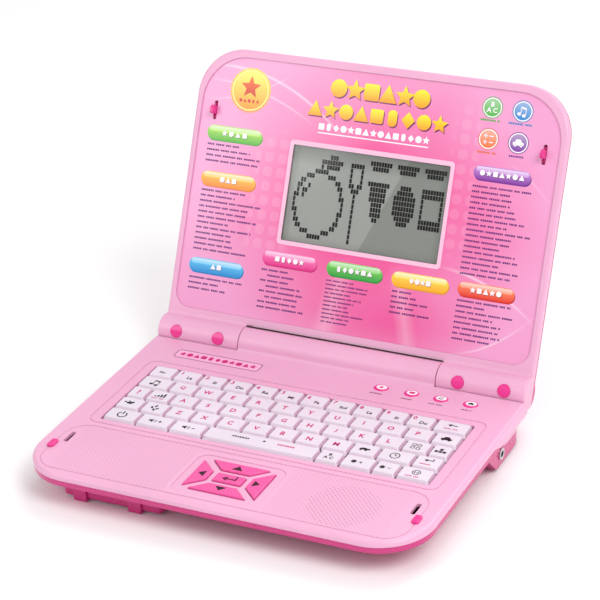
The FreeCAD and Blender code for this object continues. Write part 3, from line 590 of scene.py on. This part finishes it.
# ---------------------------------------------------------------- key legends
def music_notes(printing, x, y, size, ink):
    for dx, dy in ((-0.42, -0.38), (0.22, -0.55)):
        printing.fill(ellipse(x + dx * size, y + dy * size, 0.26 * size, 0.2 * size), ink)
        printing.bar(x + (dx + 0.2) * size, y + (dy + 0.45) * size, 0.1 * size, 0.9 * size, ink)
    printing.stroke([(x - 0.26 * size, y + 0.46 * size), (x + 0.47 * size, y + 0.3 * size)], 0.22 * size, ink)


def car(printing, x, y, size, ink):
    printing.fill(rounded(x - 0.75 * size, x + 0.75 * size, y - 0.3 * size, y + 0.12 * size, 0.1 * size), ink)
    printing.fill([(x - 0.5 * size, y + 0.1 * size), (x + 0.5 * size, y + 0.1 * size),
                   (x + 0.3 * size, y + 0.5 * size), (x - 0.32 * size, y + 0.5 * size)], ink)
    for dx in (-0.42, 0.42):
        printing.fill(ellipse(x + dx * size, y - 0.32 * size, 0.17 * size, 0.17 * size), ink)


def clock(printing, x, y, size, ink):
    printing.ring(x, y, size, 0.2 * size, ink)
    printing.stroke([(x, y + 0.62 * size), (x, y), (x + 0.45 * size, y)], 0.18 * size, ink)


def power(printing, x, y, size, ink):
    printing.ring(x, y, size, 0.26 * size, ink, 1, 122, 296)
    printing.bar(x, y + 0.72 * size, 0.26 * size, 1.1 * size, ink)


def volume(printing, x, y, size, ink, sign):
    printing.fill([(x - size, y - 0.3 * size), (x - 0.55 * size, y - 0.3 * size),
                   (x - 0.1 * size, y - 0.65 * size), (x - 0.1 * size, y + 0.65 * size),
                   (x - 0.55 * size, y + 0.3 * size), (x - size, y + 0.3 * size)], ink)
    printing.ring(x - 0.1 * size, y, 0.5 * size, 0.12 * size, ink, 1, -50, 100)
    printing.ring(x - 0.1 * size, y, 0.78 * size, 0.12 * size, ink, 1, -50, 100)
    printing.bar(x + 1.5 * size, y, 0.75 * size, 0.24 * size, ink)
    if sign > 0:
        printing.bar(x + 1.5 * size, y, 0.24 * size, 0.75 * size, ink)


def contrast(printing, x, y, size, ink, sign):
    printing.fill(star(x, y, size, 0.55 * size, 8), ink)
    printing.bar(x + 1.9 * size, y, 0.9 * size, 0.28 * size, ink)
    if sign > 0:
        printing.bar(x + 2.0 * size, y, 0.28 * size, 0.9 * size, ink)


def bird(printing, x, y, size, ink):
    printing.fill(ellipse(x, y, 0.55 * size, 0.34 * size), ink)
    printing.fill(ellipse(x + 0.5 * size, y + 0.28 * size, 0.24 * size, 0.22 * size), ink)
    printing.fill([(x - 0.4 * size, y + 0.1 * size), (x - 1.0 * size, y + 0.4 * size),
                   (x - 0.95 * size, y - 0.05 * size)], ink)
    printing.fill([(x - 0.1 * size, y + 0.2 * size), (x - 0.5 * size, y + 0.75 * size),
                   (x + 0.25 * size, y + 0.3 * size)], ink)


def leaves(printing, x, y, size, ink):
    for dx, dy, lean in ((-0.45, 0.0, 25), (0.0, 0.5, -10), (0.42, -0.15, -35), (0.05, -0.55, 20)):
        points = []
        for px, py in ellipse(0, 0, 0.16 * size, 0.34 * size, 16):
            turn = math.radians(lean)
            points.append((x + dx * size + px * math.cos(turn) - py * math.sin(turn),
                           y + dy * size + px * math.sin(turn) + py * math.cos(turn)))
        printing.fill(points, ink)


def turtle(printing, x, y, size, ink):
    printing.fill(ellipse(x, y + 0.1 * size, 0.8 * size, 0.5 * size, 20, 0, 180)
                  + [(x - 0.8 * size, y - 0.1 * size), (x + 0.8 * size, y - 0.1 * size)], ink)
    printing.fill(ellipse(x + 0.95 * size, y + 0.25 * size, 0.28 * size, 0.24 * size), ink)
    for dx in (-0.5, 0.45):
        printing.fill(ellipse(x + dx * size, y - 0.22 * size, 0.22 * size, 0.2 * size), ink)


def puzzle(printing, x, y, size, ink):
    for dx, dy in ((-0.42, 0.42), (0.42, 0.42), (-0.42, -0.42), (0.5, -0.5)):
        square = rounded(x + (dx - 0.34) * size, x + (dx + 0.34) * size,
                         y + (dy - 0.34) * size, y + (dy + 0.34) * size, 0.12 * size)
        inner = rounded(x + (dx - 0.22) * size, x + (dx + 0.22) * size,
                        y + (dy - 0.22) * size, y + (dy + 0.22) * size, 0.08 * size)
        printing.band(square, inner, ink)


def blocks(printing, x, y, size, ink):
    for column, row in ((-1, 0), (0, 0), (1, 0), (0, 1)):
        printing.bar(x + column * 0.62 * size, y + (row * 0.62 - 0.2) * size, 0.52 * size, 0.52 * size, ink)


def arrow_left(printing, x, y, size, ink, hook=False):
    printing.fill([(x - size, y), (x - 0.3 * size, y - 0.5 * size), (x - 0.3 * size, y + 0.5 * size)], ink)
    printing.bar(x + 0.3 * size, y, 1.3 * size, 0.26 * size, ink)
    if hook:
        printing.bar(x + 0.85 * size, y + 0.4 * size, 0.24 * size, 0.8 * size, ink)


def levels(printing, x, y, size, ink):
    for i in range(4):
        tall = (0.7 + 0.7 * i) * size
        printing.bar(x + (i - 1.5) * 1.2 * size, y - size + tall / 2, 0.8 * size, tall, ink)


def globe(printing, x, y, size, ink):
    printing.ring(x, y, size, 0.16 * size, ink)
    printing.band(ellipse(x, y, 0.5 * size, size), ellipse(x, y, 0.36 * size, 0.88 * size), ink)
    printing.bar(x, y, 1.9 * size, 0.14 * size, ink)


KEYS_IN_NODE = {"number_keys": 10, "top_letter_keys": 10, "home_letter_keys": 9, "bottom_letter_keys": 7}


def key_boxes(node):
    """Left edge, right edge and middle (x, y on the deck chart) of each key of a node, left to right."""
    low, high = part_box(node)
    count = KEYS_IN_NODE.get(node, 1)
    gap = 0.7
    pitch = ((high.x - low.x) / MM + gap) / count
    y = ((low.y + high.y) / 2 - HINGE.y) / MM + KEYS_FRONT
    first = low.x / MM - gap / 2
    return [(first + i * pitch, first + (i + 1) * pitch, first + (i + 0.5) * pitch, y) for i in range(count)]


def key_legends():
    """Letters, digits, note names and small pictures on the key tops, one piece for each key body."""
    def legend(node):
        return Printing(node + "_legend", key_tops, node + "_body", "key_white")

    for node, text in (("top_letter_keys", "QWERTYUIOP"), ("home_letter_keys", "ASDFGHJKL"),
                       ("bottom_letter_keys", "ZXCVBNM")):
        printing = legend(node)
        for (_, _, x, y), letter in zip(key_boxes(node), text):
            printing.letters(letter, x - 0.6, y, 3.8, INK_MAGENTA)
        printing.make()

    printing = legend("number_keys")
    notes = ["La", "Si", "Do", "Re", "Mi", "Fa", "Sol", "La", "Si", "Do"]
    for (left, _, _, y), digit, note in zip(key_boxes("number_keys"), "1234567890", notes):
        printing.letters(digit, left + 3.8, y + 2.6, 3.5, INK_MAGENTA)
        printing.letters(note, left + 10.4, y - 1.5, 2.9, INK_BLACK)
    printing.make()

    pictures = {
        "escape_key": [lambda p, x, y: p.letters("Esc", x, y - 0.6, 2.3, INK_BLACK)],
        "back_key": [lambda p, x, y: arrow_left(p, x, y + 1.6, 3.0, INK_BLACK),
                     lambda p, x, y: p.dashes(x - 4, x + 4, y - 3.0, 2.0, INK_MAGENTA, 1, 3)],
        "music_key": [lambda p, x, y: music_notes(p, x, y, 5.0, INK_BLACK)],
        "car_key": [lambda p, x, y: car(p, x, y, 4.3, INK_BLACK)],
        "help_key": [lambda p, x, y: p.letters("?", x, y, 4.6, INK_MAGENTA)],
        "level_key": [lambda p, x, y: levels(p, x, y + 0.2, 1.5, INK_BLACK),
                      lambda p, x, y: p.dashes(x - 4.2, x + 4.2, y - 3.6, 2.0, INK_MAGENTA, 1, 8)],
        "puzzle_key": [lambda p, x, y: puzzle(p, x - 0.4, y, 3.6, INK_BLACK)],
        "blocks_key": [lambda p, x, y: blocks(p, x, y, 3.8, INK_BLACK)],
        "bird_key": [lambda p, x, y: bird(p, x - 0.4, y, 3.6, INK_BLACK)],
        "brush_key": [lambda p, x, y: leaves(p, x, y, 4.0, INK_BLACK)],
        "turtle_key": [lambda p, x, y: turtle(p, x - 0.6, y, 3.1, INK_BLACK)],
        "clock_key": [lambda p, x, y: clock(p, x - 0.6, y, 3.0, INK_BLACK)],
        "enter_key": [lambda p, x, y: arrow_left(p, x, y + 1.8, 2.8, INK_BLACK, True),
                      lambda p, x, y: p.dashes(x - 3.8, x + 3.8, y - 3.0, 2.0, INK_MAGENTA, 1, 9)],
        "power_key": [lambda p, x, y: power(p, x - 0.2, y - 0.2, 3.1, INK_BLACK)],
        "volume_up_key": [lambda p, x, y: volume(p, x - 1, y, 2.8, INK_BLACK, 1)],
        "volume_down_key": [lambda p, x, y: volume(p, x - 1, y, 2.8, INK_BLACK, -1)],
        "space_key": [lambda p, x, y: p.dashes(x - 18, x - 6, y + 0.2, 2.8, INK_BLACK, 1, 10, (7, 8)),
                      lambda p, x, y: p.dashes(x + 10, x + 21, y + 0.2, 2.8, INK_MAGENTA, 1, 12, (6, 7)),
                      lambda p, x, y: p.fill(ellipse(x + 1.6, y + 1.6, 0.8, 0.8), INK_BLACK)],
        "alphabet_key": [lambda p, x, y: p.letters("B", x, y + 1.8, 2.6, INK_BLACK),
                         lambda p, x, y: p.letters("A", x - 1.7, y - 1.4, 2.6, INK_BLACK),
                         lambda p, x, y: p.letters("C", x + 1.7, y - 1.4, 2.6, INK_BLACK)],
        "contrast_up_key": [lambda p, x, y: contrast(p, x - 2.4, y, 2.1, INK_BLACK, 1)],
        "contrast_down_key": [lambda p, x, y: contrast(p, x - 2.4, y, 2.1, INK_BLACK, -1)],
        "language_key": [lambda p, x, y: globe(p, x, y + 1.2, 2.5, INK_BLACK),
                         lambda p, x, y: p.dashes(x - 5.0, x + 5.0, y - 3.9, 2.0, INK_MAGENTA, 1, 15)],
    }
    for node, drawings in pictures.items():
        printing = legend(node)
        _, _, x, y = key_boxes(node)[0]
        for draw in drawings:
            draw(printing, x, y)
        printing.make()


def arrow_legends():
    """A dark triangle on each arrow key and a return arrow on the middle one."""
    triangles = {
        "up_key": [(-3.3, 9.2), (3.3, 9.2), (0, 13.4)], "down_key": [(-3.3, -9.2), (0, -13.2), (3.3, -9.2)],
        "left_key": [(-14.8, -3.0), (-14.8, 3.0), (-18.8, 0)],
        "right_key": [(14.6, -3.0), (18.6, 0), (14.6, 3.0)],
    }
    for node, corners in triangles.items():
        printing = Printing(node + "_legend", arrow_tops, node + "_body", "arrow_magenta")
        printing.fill([(x, DPAD_Y + y) for x, y in corners], colour(44, 6, 26))
        printing.make()
    printing = Printing("centre_key_legend", arrow_tops, "centre_key_body", "arrow_magenta")
    arrow_left(printing, 0.3, DPAD_Y - 0.6, 4.4, colour(96, 12, 58), True)
    printing.make()


# ---------------------------------------------------------------- deck printing and small parts
def deck_dots():
    """Fine dimples over the palm rest, and the open holes in front of the speaker, drawn as flat discs darker
    than the deck: painted shade inside the recesses.
    """
    dimples = Printing("palm_rest_dimples", deck, "base", "deck_pink")
    holes = Printing("speaker_holes", deck, "base", "deck_pink")
    step = 1.42
    left = -105.6
    back = -9.5
    # Painted shade: dimples and holes are darker copies of the deck pink.
    dimple_shade = tinted(DECK_PINK, 0.78)
    hole_shade = tinted(DECK_PINK, 0.5)
    for row in range(34):
        for column in range(76):
            x = left + column * 2 * step + (row % 2) * step
            y = back - row * step
            near_arrows = abs(x) < 30 and abs(y - DPAD_Y) < 24
            near_latch = abs(x) > 100 and y < -13
            if near_arrows or near_latch or x > 107:
                continue
            if math.hypot(x - SPEAKER[0], y - SPEAKER[1]) < SPEAKER[2]:
                holes.fill(ellipse(x, y, 0.42, 0.42, 8), hole_shade)
            else:
                dimples.fill(ellipse(x, y, 0.4, 0.4, 6), dimple_shade)
    dimples.make()
    holes.make()


def arrow_pad_rim_highlight():
    """Pale raised line just inside the shallow pocket of the arrow pad, drawn flat in a paler copy of the
    deck pink: a painted highlight.
    """
    printing = Printing("arrow_pad_rim_highlight", deck, "base", "deck_pink")
    # Painted highlight along the rim of the pocket.
    pale = tinted(DECK_PINK, 1.14)
    printing.band(rounded(-28.6, 28.6, DPAD_Y - 22.4, DPAD_Y + 21.4, 6.0),
                  rounded(-28.1, 28.1, DPAD_Y - 21.9, DPAD_Y + 20.9, 5.5), pale)
    printing.make()


def nameplate():
    """Outlined plate with a row of block shapes, and a dashed caption under each window."""
    printing = Printing("nameplate_print", deck, "base", "deck_pink")
    grey = colour(160, 110, 140)
    printing.band(rounded(-97, -40.3, 80.6, 90.4, 2.4), rounded(-96.3, -41.0, 81.3, 89.7, 1.8), grey)
    printing.fill(rounded(-96.0, -41.3, 81.6, 89.4, 1.6), tinted(DECK_PINK, 1.12))
    printing.blocks_row(-94.4, -43, 11, 85.5, 4.3, INK_MAGENTA, 2)
    for i, (x, half) in enumerate(zip(INDICATOR_XS, (4.3, 3.7, 5.0, 3.1))):
        printing.dashes(x - half, x + half, 81.2, 2.0, colour(88, 46, 74), 1, 40 + i, (4, 7))
    printing.make()


def indicator_windows():
    """Four low glossy domes behind the keyboard, each with a pale picture."""
    sides = 28
    mesh = bpy.data.meshes.new("indicator_windows")
    form = bmesh.new()
    for x in INDICATOR_XS:
        rings = []
        for share, height in ((1.0, 0.0), (0.98, 0.3), (0.92, 0.44), (0.84, INDICATOR_RISE),
                              (0.0, INDICATOR_RISE)):
            if share:
                points = ellipse(x, INDICATOR_Y, 4.5 * share, 3.7 * share, sides)
            else:
                points = [(x, INDICATOR_Y)]
            rings.append([form.verts.new(deck(px, py, height)) for px, py in points])
        for lower, upper in zip(rings, rings[1:]):
            for i in range(sides):
                j = (i + 1) % sides
                if len(upper) == 1:
                    form.faces.new((lower[i], lower[j], upper[0]))
                else:
                    form.faces.new((lower[i], lower[j], upper[j], upper[i]))
    form.normal_update()
    form.to_mesh(mesh)
    form.free()
    mesh.shade_smooth()
    mesh.materials.append(BRIGHT)
    piece = bpy.data.objects.new("indicator_windows", mesh)
    bpy.context.scene.collection.objects.link(piece)
    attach(piece, "base")
    printing = Printing("indicator_pictures", lambda px, py, h=0.0: deck(px, py, h + INDICATOR_RISE), "base",
                        "arrow_magenta", GLOSSY_INK)
    for x in INDICATOR_XS:
        printing.fill(ellipse(x + 0.35, 88.9, 3.3, 2.5), PAPER_WHITE)
    rose = colour(206, 30, 108)
    printing.fill(star(35.9, 88.9, 1.7, 0.8, 5), rose, 2)
    printing.fill(rounded(53.4, 56.8, 87.9, 90.0, 0.6), rose, 2)
    music_notes(printing, 73.0, 89.2, 2.4, rose)
    car(printing, 91.3, 88.8, 2.4, rose)
    printing.make()


def hinge_shadow_strip():
    """Dark lip along the back of the hinge cover, closing the slit under the lid from view: a dark piece
    standing for the shade in the slit.
    """
    radius = 9.4
    height = 0.8
    half = 63.2
    points = []
    faces = []
    ribs = [math.radians(angle) for angle in range(54, 75, 4)]
    for x in (-half, half):
        for lift in (-0.3, height):
            for angle in ribs:
                reach = (radius + lift) * MM
                points.append(HINGE + Vector((x * MM, math.cos(angle) * reach, math.sin(angle) * reach)))
    count = len(ribs)
    for i in range(count - 1):
        for a, b in ((0, 2), (1, 3)):
            faces.append((a * count + i, a * count + i + 1, b * count + i + 1, b * count + i))
        for a in (0, 2):
            faces.append((a * count + i, a * count + i + 1, (a + 1) * count + i + 1, (a + 1) * count + i))
    for i in (0, count - 1):
        faces.append((i, count + i, 3 * count + i, 2 * count + i))
    mesh = bpy.data.meshes.new("hinge_shadow_strip")
    mesh.from_pydata(points, [], faces)
    form = bmesh.new()
    form.from_mesh(mesh)
    bmesh.ops.recalc_face_normals(form, faces=form.faces)
    form.to_mesh(mesh)
    form.free()
    mesh.materials.append(SHADE)
    piece = bpy.data.objects.new("hinge_shadow_strip", mesh)
    bpy.context.scene.collection.objects.link(piece)
    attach(piece, "base")


# ---------------------------------------------------------------- lid printing
def pill(printing, x0, x1, y0, y1, deep, bright, seed, word):
    """Glossy rounded tab with a row of pale block shapes."""
    radius = (y1 - y0) / 2 - 0.01
    printing.fill(rounded(x0 + 0.5, x1 + 0.5, y0 - 0.7, y1 - 0.7, radius), tinted(deep, 0.72), 1)
    printing.fill(rounded(x0, x1, y0, y1, radius), deep, 2, bright)
    middle = (y0 + y1) / 2
    printing.fill(rounded(x0 + 1.4, x1 - 1.4, middle + 0.6, y1 - 0.5, (y1 - middle - 1.1) / 2 - 0.01),
                  bright, 3, tuple(0.45 * c + 0.55 for c in bright[:3]) + (1,))
    start = (x0 + x1) / 2 - word / 2
    count = round(word / 4)
    for shift, ink, layer in ((0.35, tinted(deep, 0.45), 4), (0.0, PAPER_WHITE, 5)):
        printing.blocks_row(start + shift, start + word + shift, count, middle - shift, 3.5, ink, layer, seed)


def lid_headings():
    """The coloured tabs over each column of small print."""
    printing = Printing("lid_headings", lid, "lid", "printed_label", GLOSSY_INK)
    tabs = [(-108.8, -71.7, 53.7, 62.5, (76, 176, 48), (176, 226, 90), 18),
            (-108.8, -72.0, 25.7, 34.5, (243, 132, 18), (253, 196, 66), 12),
            (-108.8, -72.0, -27.2, -18.5, (16, 134, 206), (96, 200, 240), 8),
            (-60.7, -24.7, -16.0, -7.4, (222, 14, 128), (246, 128, 190), 20),
            (-18.2, 17.8, -16.2, -7.4, (34, 158, 56), (126, 212, 92), 24),
            (23.8, 59.8, -16.2, -7.4, (246, 168, 14), (255, 222, 84), 14),
            (64.7, 99.7, 52.4, 60.5, (126, 44, 156), (196, 138, 214), 28),
            (65.2, 100.3, -15.4, -7.0, (224, 44, 34), (250, 142, 96), 20)]
    for seed, (x0, x1, y0, y1, deep, bright, word) in enumerate(tabs):
        pill(printing, x0, x1, y0, y1, colour(*deep), colour(*bright), 60 + seed, word)
    printing.make()


def column(printing, seed, x, width, top, spacing, lines, indents=()):
    """Dashed lines of uneven length up to the width; the rows named in indents start 4 mm in."""
    lengths = random.Random(seed)
    for row in range(lines):
        start = x + 4.2 if row in indents else x
        end = x + width * lengths.uniform(0.45, 1.0)
        printing.dashes(start, end, top - row * spacing - 1.1, min(2.2, spacing * 0.72), INK_PURPLE, 1,
                        seed + row)


def lid_small_print():
    """The dashed columns of the lid panel."""
    printing = Printing("lid_small_print", lid, "lid", "printed_label")
    column(printing, 100, -107.5, 42, 51.2, 3.3, 4)
    column(printing, 120, -107.5, 42, 23.2, 3.27, 12)
    column(printing, 140, -107.5, 42, -30.3, 3.25, 3)
    column(printing, 160, -60, 35, -18.8, 3.2, 8, (1, 3, 5))
    column(printing, 180, -17.2, 34, -18.8, 2.45, 11)
    column(printing, 200, 25.3, 28, -18.8, 3.1, 5)
    column(printing, 220, 65.3, 42, 48.8, 3.18, 17)
    column(printing, 240, 66, 37, -17.8, 3.17, 8)
    printing.make()


def lid_banner():
    """Two rows of block shapes where a title would be, and a smaller pale row below."""
    printing = Printing("lid_banner", lid, "lid", "printed_label", GLOSSY_INK)
    gold = colour(250, 150, 10)
    lemon = colour(255, 236, 40)
    for half, count, y, size in ((31.8, 6, 93.9, 11.6), (44.8, 9, 80.4, 9.8)):
        printing.blocks_row(0.7 - half, 0.7 + half, count, y - 0.8, size, colour(110, 40, 90), 1, count)
        printing.blocks_row(-half, half, count, y, size, gold, 2, count, lemon)
    printing.blocks_row(-36.7, 35.3, 15, 70.2, 4.4, PAPER_WHITE, 2, 3)
    printing.bar(-0.7, 66.4, 71.0, 0.7, PAPER_WHITE, 2)
    printing.make()


def lid_seal():
    """Round gold seal with a star in the top left corner."""
    printing = Printing("lid_seal", lid, "lid", "printed_label", GLOSSY_INK)
    x, y = -83.8, 85.8
    amber = colour(246, 150, 20)
    yellow = colour(255, 226, 46)
    printing.fill(star(x, y, 14.0, 12.6, 44), amber, 1, yellow)
    printing.ring(x, y, 12.2, 0.7, colour(255, 244, 160), 2)
    printing.fill(ellipse(x, y, 11.4, 11.4), amber, 3, colour(255, 238, 110))
    printing.fill(star(x, y + 1.8, 7.0, 3.1, 5), colour(196, 30, 24), 4, colour(244, 112, 34))
    printing.blocks_row(x - 7.0, x + 7.0, 5, y - 6.4, 2.3, colour(206, 40, 24), 4, 1)
    printing.make()


def lid_badges():
    """Four round badges in the top right corner with a caption under each."""
    printing = Printing("lid_badges", lid, "lid", "printed_label", GLOSSY_INK)
    badges = [(70.5, 94.2, (72, 178, 60), 12.5, 86.0), (89.0, 94.2, (22, 132, 202), 15.0, 86.0),
              (70.7, 76.0, (240, 112, 34), 11.7, 67.4), (89.0, 76.0, (122, 46, 158), 9.2, 67.4)]
    for seed, (x, y, shade, wide, low) in enumerate(badges):
        ink = colour(*shade)
        printing.fill(ellipse(x, y, 6.3, 6.3), tinted(ink, 0.8), 1)
        printing.ring(x, y, 5.8, 0.7, PAPER_WHITE, 2)
        printing.fill(ellipse(x, y, 5.1, 5.1), ink, 2, tuple(0.7 * c + 0.3 for c in ink[:3]) + (1,))
        printing.dashes(x - wide / 2, x + wide / 2, low, 2.2, tinted(ink, 0.9), 2, 80 + seed, (7, 8))
    white = PAPER_WHITE
    for letter, dx, dy in (("B", 0, 1.9), ("A", -1.9, -1.5), ("C", 1.9, -1.5)):
        printing.letters(letter, 70.5 + dx, 94.2 + dy, 2.9, white, 3)
    badge = Printing("lid_badge_pictures", lambda px, py, h=0.0: lid(px, py, h + 0.05), "lid",
                     "printed_label", GLOSSY_INK)
    music_notes(badge, 88.9, 94.3, 4.6, white)
    car(badge, 89.0, 75.9, 4.4, white)
    for dx, dy in ((-1.8, 1.8), (1.8, 1.8), (-1.8, -1.8), (1.8, -1.8)):
        badge.bar(70.7 + dx, 76.0 + dy, 2.4, 0.6, white)
        if dx < 0:
            badge.bar(70.7 + dx, 76.0 + dy, 0.6, 2.4, white)
    badge.make()
    printing.make()


SCREEN_COLUMNS = 58
SCREEN_ROWS = 19


def fruit(column, row):
    """Round fruit with a short stalk and a leaf, in dots of the display."""
    reach = math.hypot((column - 11) / 9.5, (row - 10.5) / 6.6)
    leaf = math.hypot((column - 15) / 3.4, (row - 2.2) / 1.3) < 1
    stalk = column == 11 and 1 < row < 5
    shine = 0.62 < reach < 0.74 and column < 9 and row < 10
    return abs(reach - 0.94) < 0.075 or leaf or stalk or shine


def spoon(column, row):
    """Upright spoon beside the fruit."""
    bowl = abs(math.hypot((column - 24) / 2.7, (row - 4.2) / 3.0) - 0.85) < 0.2
    return bowl or (column == 24 and 7 < row < 18)


def block_groups(column, row):
    """A cup, a disc and a box in a row, each with a tab above it."""
    place = (column - 29) % 10
    group = (column - 29) // 10
    if column < 29 or place > 7:
        return False
    inset = min(place, 7 - place)
    if row in (1, 2):
        return inset >= row - 1
    if not 5 <= row <= 12:
        return False
    if group == 0:
        return inset >= (row - 5) / 3
    if group == 1:
        return math.hypot((place - 3.5) / 4.3, (row - 8.5) / 4.2) < 1
    return inset < 1 or row in (5, 6, 11, 12)


def lid_screen():
    """Dots of the display, and the pale frame round it."""
    printing = Printing("screen_segments", screen, "lid", "screen_grey", SCREEN_INK)
    wide = SCREEN_WIDE / SCREEN_COLUMNS
    tall = SCREEN_TALL / SCREEN_ROWS
    for row in range(SCREEN_ROWS):
        for place in range(1, SCREEN_COLUMNS - 1):
            if fruit(place, row) or spoon(place, row) or block_groups(place, row):
                printing.bar((place + 0.5) * wide - SCREEN_WIDE / 2, SCREEN_TOP - (row + 0.5) * tall,
                             wide * 0.88, tall * 0.9, colour(6, 6, 8))
    printing.make()
    border = Printing("screen_border", lid, "lid", "printed_label")
    border.band(rounded(-52.9, 52.8, -2.6, 60.3, 2.2), rounded(-50.4, 50.4, 0.0, 57.5, 0.6), PALE_PINK)
    border.make()


# ---------------------------------------------------------------- room, light and camera
def studio():
    """Plain pale floor, white surroundings and three soft lamps."""
    pale = Finish("studio_floor", 0.6)
    base = pale.mix(pale.noise(3).ramp(0.3, 0.7), (0.93, 0.93, 0.93, 1), (0.96, 0.96, 0.96, 1))
    floor_mesh = bpy.data.meshes.new("studio_floor")
    reach = 6.0
    level = -0.0003
    corners = [(-reach, -reach, level), (reach, -reach, level), (reach, reach, level), (-reach, reach, level)]
    floor_mesh.from_pydata(corners, [], [(0, 1, 2, 3)])
    floor_mesh.materials.append(pale.finish(base, pale.noise(40), 0.01))
    floor = bpy.data.objects.new("studio_floor", floor_mesh)
    bpy.context.scene.collection.objects.link(floor)

    world = bpy.data.worlds.new("studio_sky")
    bpy.context.scene.world = world
    world.use_nodes = True
    world.node_tree.nodes["Background"].inputs["Color"].default_value = (1, 1, 1, 1)
    world.node_tree.nodes["Background"].inputs["Strength"].default_value = 0.62

    for name, place, size, power_w in (("key_light", (1.0, -0.45, 1.2), 0.9, 13),
                                       ("fill_light", (-0.9, -0.9, 0.9), 0.9, 4.5),
                                       ("back_light", (0.1, 1.1, 1.3), 1.1, 9)):
        lamp = bpy.data.lights.new(name, "AREA")
        lamp.shape = "DISK"
        lamp.size = size
        lamp.energy = power_w
        light = bpy.data.objects.new(name, lamp)
        light.location = place
        light.rotation_euler = (-Vector(place)).to_track_quat("-Z", "Y").to_euler()
        bpy.context.scene.collection.objects.link(light)


def camera():
    """Stands to the front right, looking down at the toy, with a slight roll."""
    yaw, pitch, roll = (math.radians(angle) for angle in (-26.934, 26.592, -3.038))
    forward = Vector((math.sin(yaw) * math.cos(pitch), math.cos(yaw) * math.cos(pitch), -math.sin(pitch)))
    level = Vector((math.cos(yaw), -math.sin(yaw), 0))
    upright = level.cross(forward)
    right = level * math.cos(roll) + upright * math.sin(roll)
    up = upright * math.cos(roll) - level * math.sin(roll)
    place = Vector((0.5155, HINGE.y - KEYS_FRONT * MM - 0.9528, 0.6545))
    data = bpy.data.cameras.new("camera")
    data.lens = 136.18
    data.sensor_width = 36.0
    data.clip_start = 0.05
    view = bpy.data.objects.new("camera", data)
    view.matrix_world = Matrix((
        (right.x, up.x, -forward.x, place.x), (right.y, up.y, -forward.y, place.y),
        (right.z, up.z, -forward.z, place.z), (0, 0, 0, 1)))
    bpy.context.scene.collection.objects.link(view)
    bpy.context.scene.camera = view


key_legends()
arrow_legends()
deck_dots()
arrow_pad_rim_highlight()
nameplate()
indicator_windows()
hinge_shadow_strip()
lid_headings()
lid_small_print()
lid_banner()
lid_seal()
lid_badges()
lid_screen()
studio()
camera()
bpy.context.scene.view_settings.view_transform = "Standard"
